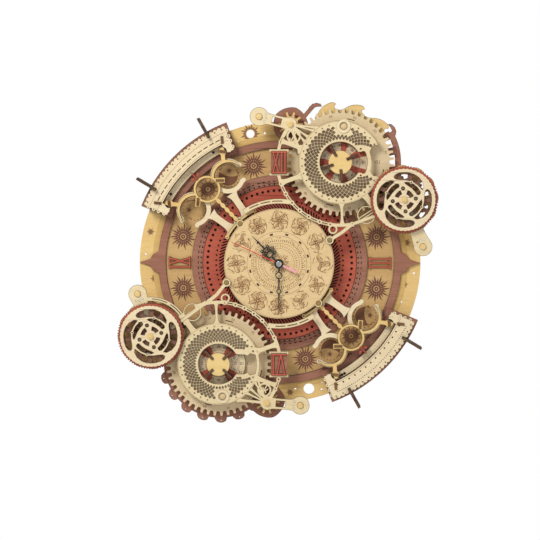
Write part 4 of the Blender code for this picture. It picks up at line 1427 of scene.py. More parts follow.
@dataclass
class CalendarCluster:
    """One gear cluster: its plates, gears, date wheel, cover and knob."""

    tag: str
    side: int
    fins: tuple[float, ...]
    boss_angle: float
    boss_radius: float
    strut_turn: float
    ears: tuple[Point, Point]
    band_dots: tuple[float, ...]
    cells: int
    sectors: tuple[int, float, float, float]
    month_radius: float
    veil: Ply
    disc: float = 49.4
    opening: float = 24.4
    band: tuple[float, float] = (72.4, 76.5)
    window_half: float = 12.0

    def __post_init__(self) -> None:
        """Read the axes from the frame's joints."""
        self.centre = axis_of(f"{self.tag}_month_turn")
        self.idler = axis_of(f"{self.tag}_idler_turn")
        self.knob = axis_of(f"{self.tag}_knob_turn")
        self.idler_angle = degrees(atan2(self.idler[1] - self.centre[1], self.idler[0] - self.centre[0]))
        self.knob_angle = degrees(atan2(self.knob[1] - self.centre[1], self.knob[0] - self.centre[0]))
        self.turn = 0.0 if self.side > 0 else 180.0
        self.phase = self.idler_angle + 180.0 / MONTH_TEETH

    def at(self, radius: float, angle: float) -> Point:
        """Return a point about the month gear's axis."""
        return polar(radius, angle, self.centre)

    def build(self) -> None:
        """Make every layer from the wall outwards."""
        self.make_cog_plate()
        if self.side > 0:
            self.make_hook_plate()
        self.make_gears()
        self.make_date_wheel()
        self.make_date_cap()
        self.make_cover()
        self.make_pins()
        TurnKnob(self.tag, self.knob, self.strut_turn, self.idler_angle, self.knob_angle).build()

    def make_cog_plate(self) -> None:
        """Cut the mauve plate behind the gears."""
        plan = Plan(f"{self.tag}_cog_plate_cut", *levels(f"{self.tag}_cog_plate"))
        plan.add(circle(30.0, self.centre, 60))
        for place in (self.knob, self.idler):
            plan.add(bar(self.centre, place, 14.0))
        plan.add(circle(21.0, self.knob, 48), *dots(17.0, 1.3, ring_angles(8), self.knob))
        plan.add([polar(20.9 - 0.9 * abs(sin(radians(7.5 * i))), i * 3.0, self.idler) for i in range(120)])
        (self.add_pick_heads if self.side > 0 else self.add_cogs)(plan)
        Bench.keep(plan.make(Finishes.mauve), FRAME, "mauve", f"{self.tag}_cog_plate")

    def add_pick_heads(self, plan: Plan) -> None:
        """Add the band on the right and the two heads like a pick's."""
        plan.add(arc(65.4, 72.2, -12.0, 31.0, self.centre))
        for angle in (-8.0, 12.0, 29.0):
            plan.add(bar(self.centre, self.at(68.0, angle), 9.0))
        plan.add(bar(self.at(69.6, 128.0), self.at(75.0, 114.7), 5.0))
        shape = (
            (70.0, -6.4), (73.4, -5.8), (76.2, -2.6), (76.8, 1.0), (75.6, 4.8), (72.4, 6.8),
            (72.8, 2.6), (71.8, -2.0)
        )
        for angle in (114.7, 32.0):
            plan.add([self.at(radius, angle + turn) for radius, turn in shape])

    def add_cogs(self, plan: Plan) -> None:
        """Add the band of round cogs, each with its own hole."""
        plan.add(arc(54.0, 67.4, 166.0, 316.0, self.centre))
        for angle in (175.0, 215.0, 255.0, 300.0):
            plan.add(bar(self.centre, self.at(58.0, angle), 9.0))
        shape = (
            (66.5, -6.8), (69.6, -5.7), (72.4, -3.6), (73.4, -0.8), (73.2, 2.4), (71.6, 4.8),
            (69.2, 5.6), (66.5, 6.2)
        )
        for middle in spread(178.0, 308.9, 8):
            plan.add(
                [self.at(radius, middle + turn) for radius, turn in shape],
                circle(0.9, self.at(70.8, middle), 10)
            )

    def make_hook_plate(self) -> None:
        """Cut the honey plate with its three wave crests."""
        plan = Plan("upper_hook_plate_cut", *levels("upper_hook_plate"))
        outline = [self.at(30.0, 22.0), self.at(61.0, 30.0)]
        crest = (
            (62.4, -4.2), (64.8, -2.0), (66.8, -1.6), (68.4, -2.6), (69.6, -3.6), (71.4, -1.8),
            (71.9, 1.0), (71.0, 5.0), (69.4, 9.0), (67.0, 13.0), (64.4, 16.0), (62.4, 19.0),
        )
        for tip in (38.5, 69.0, 98.0):
            outline += [self.at(radius, tip + turn) for radius, turn in crest]
        outline += [self.at(61.0, 120.0), self.at(30.0, 124.0)]
        plan.add(outline)
        plan.add(circle(33.0, self.centre, 48))
        plan.cut(circle(AXLE_HOLE, self.centre, 24))
        Bench.keep(plan.make(Finishes.honey), FRAME, "honey", "upper_hook_plate")

    def make_gears(self) -> None:
        """Cut the month gear, with its numbers, and the idler."""
        back, front = levels(f"{self.tag}_month_gear")
        body = f"{self.tag}_month"
        wheel = shifted(gear_outline(MONTH_TEETH, self.phase), self.centre)
        slots = [arc(51.6, 52.7, a - 5.0, a + 5.0, self.centre) for a in ring_angles(4, 76.0)]
        ways = [arc(12.0, 24.0, a, a + 60.0, self.centre) for a in ring_angles(4, 15.0)]
        sheet = Bench.sheet(
            f"{body}_wheel", [wheel, circle(AXLE_HOLE, self.centre, 24)] + slots + ways, back, front
        )
        Bench.lay(sheet, Finishes.tooth, body, "cream", f"{body}_gear")
        rings = (("", 6.6, self.month_radius, 0.0, 0.0), ("_edge", 4.2, 55.2, 12.0, -78.0))
        marks = self.labels(body, list(range(1, 13)), rings, front)
        text = Bench.dress(Bench.join(f"{body}_numbers", marks), Finishes.mark)
        Bench.keep(text, body, "cream")
        back, front = levels(f"{self.tag}_idler_gear")
        phase = mesh_phase(self.phase, self.idler_angle, IDLER_TEETH)
        shape = shifted(gear_outline(IDLER_TEETH, phase), self.idler)
        sheet = Bench.sheet(
            f"{self.tag}_idler_wheel", [shape, circle(PIN_HOLE, self.idler, 20)], back, front
        )
        Bench.lay(sheet, Finishes.honey, f"{self.tag}_idler", "honey", f"{self.tag}_idler_gear")

    def labels(self, body: str, numbers: list[int], rings: tuple, depth: float) -> list[Piece]:
        """Print two-digit numbers in rings about the axis.

        Args:
            body: Start of the pieces' names.
            numbers: The numbers, from the first angle on.
            rings: Each ring's name, size, radius, shift and lean.
            depth: Depth that they are printed at.

        Returns:
            The numbers.
        """
        marks = []
        for number, angle in zip(numbers, ring_angles(len(numbers))):
            label = f"{number:02d}"
            for ring, size, radius, shift, lean in rings:
                spot = self.at(radius, angle + shift)
                marks.append(Bench.numbers(f"{body}{ring}_{label}", label, size, spot, angle + lean, depth))
        return marks

    def make_date_wheel(self) -> None:
        """Cut the date wheel and lay its sectors and numbers on it."""
        back, front = levels(f"{self.tag}_date_wheel")
        body = f"{self.tag}_date"
        disc = [circle(32.2, self.centre, 90), circle(AXLE_HOLE, self.centre, 24)]
        Bench.keep(
            Bench.scorch_and_shade(Bench.sheet(f"{body}_disc", disc, back, front), Finishes.taupe), body, "taupe",
            f"{body}_wheel"
        )
        count, first, width, reach = self.sectors
        red = [arc(9.0, reach, a, a + width, self.centre) for a in ring_angles(count, first)]
        sheet = Bench.sheet(f"{body}_sectors", red, front - 0.1, front + LABEL_LIFT)
        Bench.lay(sheet, Finishes.red, body, "red", width=0.2)
        if reach < 25.0:
            band = [circle(32.1, self.centre, 90), circle(24.9, self.centre, 80)]
            sheet = Bench.sheet(f"{body}_pale_band", band, front - 0.1, front + LABEL_LIFT)
            Bench.lay(sheet, Finishes.cream, body, "cream", width=0.3)
        rings = [[self.at(r, a) for a in ring_angles(72)] for r in (23.4, 16.2)]
        piece = Bench.lines(f"{body}_rings", rings, 0.3, front + 0.1, True)
        Bench.fit(piece, Finishes.dark, body, "burnt")
        rings = (("", 5.2, 28.0, 0.0, 0.0), ("_inner", 4.2, 20.0, 0.0, -90.0))
        marks = self.labels(body, list(range(1, 33, 2)), rings, front + LABEL_LIFT)
        text = Bench.dress(Bench.join(f"{body}_numbers", marks), Finishes.dark)
        Bench.keep(text, body, "taupe")

    def make_date_cap(self) -> None:
        """Cut the honey hub cap and stand its four finger bars in it."""
        back, front = levels(f"{self.tag}_date_cap")
        body = f"{self.tag}_date"
        notches = []
        for angle in self.fins:
            notches.append(bar(self.at(10.0, angle), self.at(15.0, angle), 3.3))
        cap = Bench.sheet(f"{self.tag}_hub_cap", [circle(13.9, self.centre, 60)], front - 3.0, front)
        Bench.cut(cap, Bench.sheet("notches", notches, front - 4.0, front + 1.0))
        Bench.keep(Bench.trace(cap, Finishes.hub), body, "honey", f"{self.tag}_date_cap")
        drum = Bench.sheet(
            f"{self.tag}_hub_drum", [circle(8.0, self.centre, 36), circle(AXLE_HOLE, self.centre, 24)],
            back, front - 3.1
        )
        Bench.lay(drum, Finishes.honey, body, "honey", width=0.0)
        for i, angle in enumerate(self.fins):
            fin = Plan(f"{self.tag}_finger_bar_{i + 1}", back, front + 0.9)
            fin.add(bar(self.at(8.3, angle), self.at(22.6, angle), 3.0))
            piece = fin.make(Finishes.burnt)
            self.ease(piece)
            Bench.keep(piece, body, "burnt")

    @staticmethod
    def ease(piece: Piece) -> None:
        """Ease a bar's edges by a hair."""
        Bench.take(piece)
        step = piece.modifiers.new("ease", "BEVEL")
        step.width = 0.25 * MM
        step.segments = 2
        bpy.ops.object.modifier_apply(modifier=step.name)

    def lattice(self) -> list[Outline]:
        """Return the diamond openings between the window and the rim."""
        pitch = 360.0 / self.cells
        found = []
        for row in range(6):
            radius = 28.6 + 2.5 * row
            for i in range(self.cells):
                angle = (i + 0.5 * (row % 2)) * pitch
                if self.blocked(radius, angle, 19.0):
                    continue
                wide, tall = 0.445 * pitch, 2.22
                spot = [self.at(radius - tall, angle), self.at(radius, angle + wide)]
                found.append(spot + [self.at(radius + tall, angle), self.at(radius, angle - wide)])
        return found

    def blocked(self, radius: float, angle: float, high: float) -> bool:
        """Return whether the window's frame or the boss is at a point."""
        across, up = polar(radius, angle)
        gap = (angle - self.boss_angle + 180.0) % 360.0 - 180.0
        at_boss = abs(radians(gap)) * radius < 10.0 and radius > self.boss_radius - 10.5
        return at_boss or (across > 0.0 and -16.5 < up < high)

    def make_cover(self) -> None:
        """Cut the pierced cover, its frame band, arms and ears."""
        back, front = levels(f"{self.tag}_cover")
        plan = Plan(f"{self.tag}_cover_cut", back, front, plain=Plain(self.centre, 25.2, 44.2))
        rim_dots = [a for a in ring_angles(32, 5.6) if not self.blocked(45.2, a, 18.0)]
        boss = self.at(self.boss_radius, self.boss_angle)
        holes = self.lattice() + dots(45.4, 0.8, rim_dots, self.centre, 8) + [circle(4.3, boss, 24)]
        plan.add(circle(self.disc, self.centre, 120), circle(self.opening, self.centre, 72), *holes)
        self.add_band(plan)
        self.add_struts(plan)
        self.add_arms(plan)
        self.add_dial_arm(plan)
        self.cut_window(plan)
        piece = plan.make(Finishes.cream)
        Bench.keep(piece, FRAME, "cream", f"{self.tag}_cover")
        ring = Bench.sheet(
            f"{self.tag}_boss_ring", [circle(8.0, boss, 40), circle(5.2, boss, 30)], front + LIFT,
            front + 0.9
        )
        Bench.lay(ring, Finishes.pale, FRAME, "cream")
        dish = Bench.pin(f"{self.tag}_boss_pin", 3.9, front - 2.0, front - 0.7, boss, 0.5)
        Bench.fit(dish, Finishes.face_wood, FRAME, "cream")
        low, high = (32.0, 324.0) if self.side > 0 else (23.0, 337.0)
        veil = Bench.sheet(f"{self.tag}_lattice_veil", self.lattice(), front - 1.5, front - 1.1)
        Bench.lay(veil, self.veil, FRAME, "burnt", width=0.0)
        span = [self.at(48.3, a) for a in spread(low + 2.0, high - 2.0, 90)]
        work = Bench.lines(f"{self.tag}_rim_line", [span], 0.3, front)
        Bench.fit(work, Finishes.mark, FRAME, "burnt")

    def add_band(self, plan: Plan) -> None:
        """Add the outer frame band with its dots and dashes."""
        low, high = (150.0, 290.0) if self.side > 0 else (-40.0, 112.0)
        inner, outer = self.band
        middle = (inner + outer) / 2
        holes = dots(middle, 0.95, self.band_dots, self.centre)
        for first, last in zip(self.band_dots, self.band_dots[1:]):
            if last - first < 12.0:
                holes.append(arc(middle - 0.45, middle + 0.45, first + 2.4, last - 2.4, self.centre))
        plan.add(arc(inner, outer, low, high, self.centre), *holes)
        for angle in self.band_dots:
            plan.add(circle(2.9, self.at(middle, angle), 18), circle(0.95, self.at(middle, angle), 8))

    def add_struts(self, plan: Plan) -> None:
        """Add the struts from the disc to the band and the idler's fan."""
        middle, root = sum(self.band) / 2, self.disc - 1.0
        for angle, wide, slim in (
            (199.0, 11.0, 5.4), (160.0, 9.0, 5.0), (272.0, 9.0, 3.0), (307.0, 9.0, 6.6)
        ):
            plan.add(
                waist(self.at(root, angle + self.turn), self.at(middle, angle + self.turn), wide, slim)
            )
        for lean, width in ((-20.0, 2.6), (-13.0, 2.2), (-1.0, 2.4), (7.0, 2.2), (24.0, 3.4)):
            plan.add(
                waist(self.at(root, self.idler_angle + lean * self.side), self.idler, 2 * width, width)
            )
        cut_at = self.at(63.2, 150.8 + self.turn)
        plan.add(circle(8.6, cut_at, 32), circle(6.2, cut_at, 28))
        for lean, end in ((150.8, 40.0), (150.8, 220.0)):
            spot = polar(3.1, lean + self.turn + (90.0 if end > 90 else -90.0), cut_at)
            plan.add(arc(2.3, 3.9, end - 60.0, end + 120.0, spot))
        plan.add(bar(cut_at, polar(6.9, 61.0 + self.turn, cut_at), 1.8))
        plan.add(bar(cut_at, polar(6.9, 241.0 + self.turn, cut_at), 1.8))
        plan.add(bar(self.at(self.band[0] + 2.0, 156.0 + self.turn), self.idler, 4.2))

    def add_arms(self, plan: Plan) -> None:
        """Add the bosses, the two ears and the arms that carry them."""
        plan.add(circle(8.0, self.idler, 40), circle(PIN_HOLE, self.idler, 20))
        for start, ear, wide in ((self.idler, self.ears[0], 14.6), (self.knob, self.ears[1], 18.5)):
            lean = degrees(atan2(ear[1] - start[1], ear[0] - start[0]))
            plan.add(circle(10.9, ear, 48))
            plan.add(waist(start, polar(4.0, lean + 180.0, ear), wide + 3.0, wide - 2.0))
            plan.cut(*[circle(1.05, polar(8.4, lean + 180.0 + a, ear), 10) for a in (-29.0, 0.0, 29.0)])
            plan.cut(circle(3.9, ear, 24))
        lean = degrees(atan2(self.ears[0][1] - self.idler[1], self.ears[0][0] - self.idler[0]))
        plan.cut(bar(polar(10.6, lean, self.idler), polar(22.0, lean, self.idler), 7.6))
        plan.add(circle(13.8, self.knob, 48))
        if self.side < 0:
            slots = [arc(43.9, 44.7, low, high, self.knob) for low, high in ((30.0, 58.0), (64.0, 88.0))]
            plan.add(arc(41.8, 46.6, 18.0, 100.0, self.knob), *slots)
        ring = self.at(69.6, -63.5 + self.turn)
        plan.add(circle(10.8, ring, 44), circle(9.4, ring, 40))
        for offset in (-1.5, 1.5):
            across = polar(offset, 123.0)
            spots = [polar(reach * self.side, 33.0, ring) for reach in (-10.4, 15.5)]
            plan.add(bar(*[(x + across[0], z + across[1]) for x, z in spots], 1.3))
        middle = sum(self.band) / 2
        plan.add(arc(*self.band, 286.0 + self.turn, 290.5 + self.turn, self.centre))
        lean = degrees(atan2(ring[1] - self.knob[1], ring[0] - self.knob[0]))
        plan.add(
            bar(self.at(middle, 282.0 + self.turn), polar(12.0, lean + 30.0 * self.side, self.knob), 3.8)
        )
        plan.cut(circle(8.3, self.knob, 36), circle(PIN_HOLE, self.idler, 20))

    def add_dial_arm(self, plan: Plan) -> None:
        """Add the numeral's open plate and the arms that hug the dial."""
        spot = (0.0, NUMERAL_REACH * self.side)
        for lift in (-14.0, 14.0):
            plan.add(box((spot[0], spot[1] + lift), 23.0, 3.2))
        text = "XII" if self.side > 0 else "VI"
        for first, last in strokes_of(text, 18.0, 27.0, 0.0):
            ends = [(spot[0] + x * self.side, spot[1] + z * self.side) for x, z in (first, last)]
            plan.add(bar(*ends, 3.3))
        middle = sum(self.band) / 2
        for angle in (169.0, 191.0):
            plan.add(
                bar(
                    (spot[0], spot[1] + (14.0 if angle < 180.0 else -14.0)),
                    self.at(middle, angle + self.turn), 3.4
                )
            )
        ear = polar(POST_REACH, 25.2 if self.side > 0 else 199.8)
        start = self.at(middle, 281.5 + self.turn)
        bend = (74.6 * self.side, 37.4 * self.side)
        plan.add(bar(start, bend, 4.2), circle(0.9, polar(16.0, 28.0 + self.turn, bend), 8))
        plan.add(bar(bend, ear, 4.2))
        plan.add(circle(2.1, bend, 16))
        plan.add(circle(4.9, ear, 30), circle(1.6, ear, 14))
        curl = (64.1 * self.side, 41.2 * self.side)
        plan.add(circle(5.6, curl, 30), circle(3.4, curl, 24))
        low, high = 80.0 + self.turn, 124.0 + self.turn
        slots = [arc(74.3, 75.2, a, a + 9.0) for a in (low + 7.0, low + 18.0, low + 29.0)]
        plan.add(arc(71.8, 77.4, low, high), *slots)

    def cut_window(self, plan: Plan) -> None:
        """Cut the date window and, on the upper cover, the month gap."""
        x, z = self.centre
        if self.side > 0:
            sill = ((18.0, -12.0), (24.6, -12.4), (26.6, -13.6), (29.4, -13.0))
            window = [(x + a, z + b) for a, b in sill] + [self.at(32.4, a) for a in spread(-20.0, 20.0, 9)]
            plan.cut(window + [(x + a, z - b) for a, b in reversed(sill)])
            gap = [self.at(36.6, a) for a in spread(20.0, -17.0, 9)]
            gap += [self.at(r, a) for r, a in ((40.0, -20.5), (43.0, -22.4), (46.0, -20.4), (60.0, -19.0))]
            plan.cut(
                gap + [self.at(r, a) for r, a in ((60.0, 25.0), (47.5, 25.4), (44.6, 27.4), (41.0, 25.6))]
            )
            screws = [(x + 24.2, z + 16.0), (x + 24.2, z - 15.4)]
        else:
            half = self.window_half
            points = [
                (18.0, -half), (31.0, -half), (35.0, -half + 1.4), (38.0, -half - 1.6),
                (41.4, -half - 0.6)
            ]
            window = [(x + a, z + b) for a, b in points] + [
                self.at(45.8, a) for a in spread(-14.4, 14.4, 9)
            ]
            plan.cut(window + [(x + a, z - b) for a, b in reversed(points)])
            screws = [(x + 41.6, z + 15.6), (x + 41.6, z - 15.6)]
        plan.cut(*[circle(1.2, spot, 12) for spot in screws])

    def make_pins(self) -> None:
        """Turn the axle, the headed pins and the ears' rivets."""
        back, front = levels(f"{self.tag}_gear_axle")
        axle = Bench.pin(f"{self.tag}_axle_turned", 4.0, back, front, self.centre)
        Bench.fit(axle, Finishes.face_wood, FRAME, "honey", f"{self.tag}_gear_axle")
        back, front = levels(f"{self.tag}_idler_pin")
        stem = Bench.pin(f"{self.tag}_idler_stem", 2.5, back, front - 1.7, self.idler)
        head = Bench.pin("head", 3.6, front - 1.8, front, self.idler, 0.5)
        pin = Bench.dress(Bench.join(f"{self.tag}_idler_stem", [stem, head]), Finishes.rivet)
        Bench.keep(pin, FRAME, "honey", f"{self.tag}_idler_pin")
        back, front = levels(f"{self.tag}_cover")
        for i, ear in enumerate(self.ears):
            rivet = Bench.pin(f"{self.tag}_ear_rivet_{i + 1}", 3.6, back - 2.4, front + 1.5, ear, 0.5)
            Bench.fit(rivet, Finishes.rivet, FRAME, "honey")


CRESCENT = (
    (24.3, 1.0), (27.5, 7.0), (30.3, 19.7), (31.8, 32.0), (32.3, 42.0), (32.4, 52.0),
    (32.4, 63.0), (32.4, 75.0), (31.6, 83.5), (30.0, 87.4), (28.0, 87.6), (26.2, 84.6),
    (24.9, 79.0), (24.0, 72.0), (23.6, 62.0), (23.4, 46.0), (24.8, 41.0), (23.4, 36.0),
    (23.5, 22.0), (23.7, 9.0),
)  # radius and angle of the knob face's large openings
SLOT = (
    (20.2, -6.0), (21.3, 0.0), (21.5, 18.0), (21.5, 36.0), (20.0, 41.0), (21.5, 46.0),
    (21.3, 56.0), (20.4, 64.0), (18.6, 58.0), (17.0, 45.0), (16.2, 30.0), (16.0, 8.0),
    (16.2, -4.0), (17.6, -8.0),
)
TRIANGLE = ((21.4, 38.6), (23.6, 41.0), (21.4, 43.4))


@dataclass
class TurnKnob:
    """A knob: pinion and star on a hub, a toothed red ring and a face."""

    tag: str
    centre: Point
    strut_turn: float
    idler_angle: float
    month_angle: float
    face_radius: float = 37.2
    ring_radius: float = 40.1
    star_radius: float = 41.2
    pin_hole: float = PIN_HOLE

    def spot(self, radius: float, angle: float) -> Point:
        """Return a point about the knob's axis."""
        return polar(radius, angle, self.centre)

    def build(self) -> None:
        """Make the drive, the ring, the face and the pin."""
        self.make_drive()
        self.make_ring()
        self.make_face()
        self.make_pin()

    def make_drive(self) -> None:
        """Cut the pinion and the lobed star, and turn their hub."""
        back = levels(f"{self.tag}_month_gear")
        star = levels(f"{self.tag}_date_wheel")
        wheel_phase = self.idler_angle + 180.0 / MONTH_TEETH
        phase = mesh_phase(wheel_phase, self.month_angle, KNOB_TEETH)
        shape = shifted(gear_outline(KNOB_TEETH, phase), self.centre)
        pinion = Bench.sheet(
            f"{self.tag}_knob_pinion", [shape, circle(self.pin_hole, self.centre, 20)], *back
        )
        Bench.lay(pinion, Finishes.honey, f"{self.tag}_knob", "honey", f"{self.tag}_knob_drive")
        lobes = []
        for i in range(144):
            reach = self.star_radius - 2.4 * (0.5 - 0.5 * cos(radians(30.0 * i))) ** 1.5
            lobes.append(self.spot(reach, 2.5 * i + 4.0))
        reach = 30.0 if self.tag == "upper" else 24.0
        ways = [arc(14.0, reach, a, a + 36.0, self.centre) for a in ring_angles(6, 10.0)]
        outlines = [lobes, circle(self.pin_hole, self.centre, 20)] + ways + dots(
            35.4, 1.1, ring_angles(12, 4.0), self.centre
        )
        wheel = Bench.sheet(f"{self.tag}_knob_star", outlines, *star)
        Bench.lay(wheel, Finishes.honey, f"{self.tag}_knob", "honey")
        hub_front = levels(f"{self.tag}_knob_ring")[0]
        outlines = [circle(8.0, self.centre, 36), circle(self.pin_hole, self.centre, 20)]
        hub = Bench.sheet(f"{self.tag}_knob_hub", outlines, star[1], hub_front)
        Bench.lay(hub, Finishes.mauve, f"{self.tag}_knob", "honey", width=0.0)

    def make_ring(self) -> None:
        """Cut the red ring with its fine teeth and the dark wheel in it."""
        depths = levels(f"{self.tag}_knob_ring")
        teeth = []
        for i in range(78):
            angle = 360.0 * i / 78
            teeth += [
                self.spot(self.ring_radius - 1.3, angle - 1.5),
                self.spot(self.ring_radius, angle - 0.75)
            ]
            teeth += [
                self.spot(self.ring_radius, angle + 0.75),
                self.spot(self.ring_radius - 1.3, angle + 1.5)
            ]
        body = f"{self.tag}_knob"
        ring = Bench.sheet(f"{body}_teeth", [teeth, circle(34.0, self.centre, 90)], *depths)
        Bench.lay(ring, Finishes.red, body, "red", f"{body}_ring")
        ways = [circle(self.pin_hole, self.centre, 20)]
        for angle in ring_angles(14, self.strut_turn):
            shape = ((26.0, 3.0), (31.8, 4.0), (32.2, 10.0), (30.8, 18.0), (26.8, 19.0), (24.6, 11.0))
            ways.append([self.spot(radius, angle + turn) for radius, turn in shape])
            ways.append(arc(15.6, 21.6, angle + 8.0, angle + 26.0, self.centre))
        wheel = Bench.sheet(f"{body}_wheel", [circle(33.9, self.centre, 90)] + ways, *depths)
        # The wheel's darker mauve is partly painted shade under the knob face.
        Bench.lay(wheel, Finishes.dark_shaded_mauve, body, "mauve")

    def make_face(self) -> None:
        """Cut the pale face with its crescents, slots, lugs and holes."""
        back, front = levels(f"{self.tag}_knob_face")
        body, turn = f"{self.tag}_knob", self.strut_turn
        screws = [self.spot(13.7, a) for a in ring_angles(4, turn - 20.5)]
        holes = [circle(self.pin_hole, self.centre, 20)] + [circle(2.2, spot, 16) for spot in screws]
        for angle in ring_angles(4, turn):
            holes += [self.shape(outline, angle) for outline in (CRESCENT, SLOT, TRIANGLE)]
            holes.append(arc(7.2, 11.8, angle - 5.0, angle + 43.0, self.centre))
        rim = [
            self.spot(
                self.face_radius - 0.35 + 0.35 * sin(radians(18.0 * i)), 0.375 * i
            ) for i in range(0, 960, 5)
        ]
        face = Bench.sheet(f"{body}_face_cut", [rim] + holes, back, front)
        Bench.lay(face, Finishes.pale, body, "cream", f"{body}_face")
        plugs = [Bench.pin("plug", 1.5, back, front - 0.7, spot) for spot in screws]
        Bench.keep(Bench.dress(Bench.join(f"{body}_plugs", plugs), Finishes.umber), body, "burnt")

    def shape(self, outline: tuple[Point, ...], angle: float) -> Outline:
        """Return an opening given as radii and angles, turned by an angle."""
        return [self.spot(radius, angle + turn) for radius, turn in outline]



    def make_pin(self) -> None:
        """Turn the headed pin that the knob spins on."""
        back, front = levels(f"{self.tag}_knob_pin")
        stem = Bench.pin("stem", 2.5, back, front - 1.7, self.centre)
        head = Bench.pin("head", 3.6, front - 1.8, front, self.centre, 0.5)
        pin = Bench.dress(Bench.join(f"{self.tag}_knob_stem", [stem, head]), Finishes.rivet)
        Bench.keep(pin, FRAME, "honey", f"{self.tag}_knob_pin")


@dataclass
class OuterScale:
    """One outer scale: mauve backing, inner tier, scale plate and sticks."""

    tag: str
    middle: float
    dashes: bool
    half: float = 23.5
    stick_spread: float = 15.0

    def build(self) -> None:
        """Make the four layers and the marks on them."""
        low, high = self.middle - self.half, self.middle + self.half
        backing = [arc(140.0, 179.9, low, high)]
        sheet = Bench.sheet(f"{self.tag}_arc_backing", backing, *levels(f"{self.tag}_arc_back"))
        Bench.lay(sheet, Finishes.mauve, FRAME, "mauve", f"{self.tag}_arc_back")
        self.make_tier(low, high)
        self.make_scale(low, high)
        self.make_sticks()

    def make_tier(self, low: float, high: float) -> None:
        """Cut the lower, inner tier with its few holes."""
        holes = [
            polar(154.2, self.middle + a) for a in ((-13.4, 13.4) if self.dashes else (-13.6, -14.9, -16.2))
        ]
        outlines = [arc(148.8, 156.8, low + 3.0, high - 3.0)] + [circle(1.5, h, 14) for h in holes]
        sheet = Bench.sheet(f"{self.tag}_arc_inner_tier", outlines, *levels(f"{self.tag}_arc_tier"))
        Bench.lay(sheet, Finishes.pale, FRAME, "cream", f"{self.tag}_arc_tier")

    def make_scale(self, low: float, high: float) -> None:
        """Cut the scale plate, scalloped outside, with dots and dashes."""
        back, front = levels(f"{self.tag}_arc_scale")
        plan = Plan(f"{self.tag}_arc_scale_cut", back, front)
        start, end = low + 1.0, high - 1.0
        outer = scallops(176.9, 1.9, start, end, 26)
        inner = [polar(157.2, a) for a in spread(end, start, 30)]
        holes = dots(173.6, 0.75, [a for a in spread(start + 1.6, end - 1.6, 15)])
        if self.dashes:
            holes += [arc(162.9, 163.7, a, a + 2.0) for a in spread(start + 4.0, end - 6.0, 13)]
        else:
            holes += dots(161.6, 0.9, spread(start + 4.0, end - 4.0, 14))
            holes += dots(169.2, 0.45, spread(start + 3.0, end - 3.0, 44), count=6)
        plan.add(outer + inner, *holes)
        for side in (start, end - 4.0):
            plan.add(arc(146.0, 160.0, side, side + 4.0))
            plan.add(circle(2.3, polar(147.4, side + 2.0), 18), circle(0.8, polar(147.4, side + 2.0), 10))
            edge = side if side == start else side + 4.0
            for radius in (150.0, 157.4, 163.6, 170.4):
                plan.add(circle(2.4, polar(radius, edge), 16), circle(0.7, polar(radius, edge), 8))
        slots = [bar(polar(171.3, a), polar(199.0, a), 3.4) for a in self.sticks()]
        plan.cut(*slots)
        Bench.keep(plan.make(Finishes.pale), FRAME, "cream", f"{self.tag}_arc_scale")
        tabs = []
        for side in (-1, 1):
            tab, lean = polar(162.2, self.middle + side * 19.4), self.middle + side * 40.0
            tabs.append(bar(polar(4.4, lean, tab), polar(4.4, lean + 180.0, tab), 3.2))
        sheet = Bench.sheet(f"{self.tag}_arc_tabs", tabs, front + LIFT, front + 1.0)
        Bench.lay(sheet, Finishes.tab, FRAME, "burnt", width=0.0)
        strokes = [[polar(r, a) for a in spread(start + 0.6, end - 0.6, 40)] for r in (169.2, 159.0)]
        work = Bench.lines(f"{self.tag}_arc_lines", strokes if self.dashes else strokes[1:], 0.35, front)
        Bench.fit(work, Finishes.mark, FRAME, "burnt")

    def sticks(self) -> list[float]:
        """Return the angles of the two dark sticks."""
        return [self.middle - self.stick_spread, self.middle + self.stick_spread]

    def make_sticks(self) -> None:
        """Stand the two dark sticks in their slots."""
        for i, angle in enumerate(self.sticks()):
            node = f"{self.tag}_arc_stick_{i + 1}"
            plan = Plan(node + "_cut", *levels(node))
            plan.add(bar(polar(171.6, angle), polar(197.9, angle), 3.0))
            piece = plan.make(Finishes.burnt)
            CalendarCluster.ease(piece)
            Bench.keep(piece, FRAME, "burnt", node)


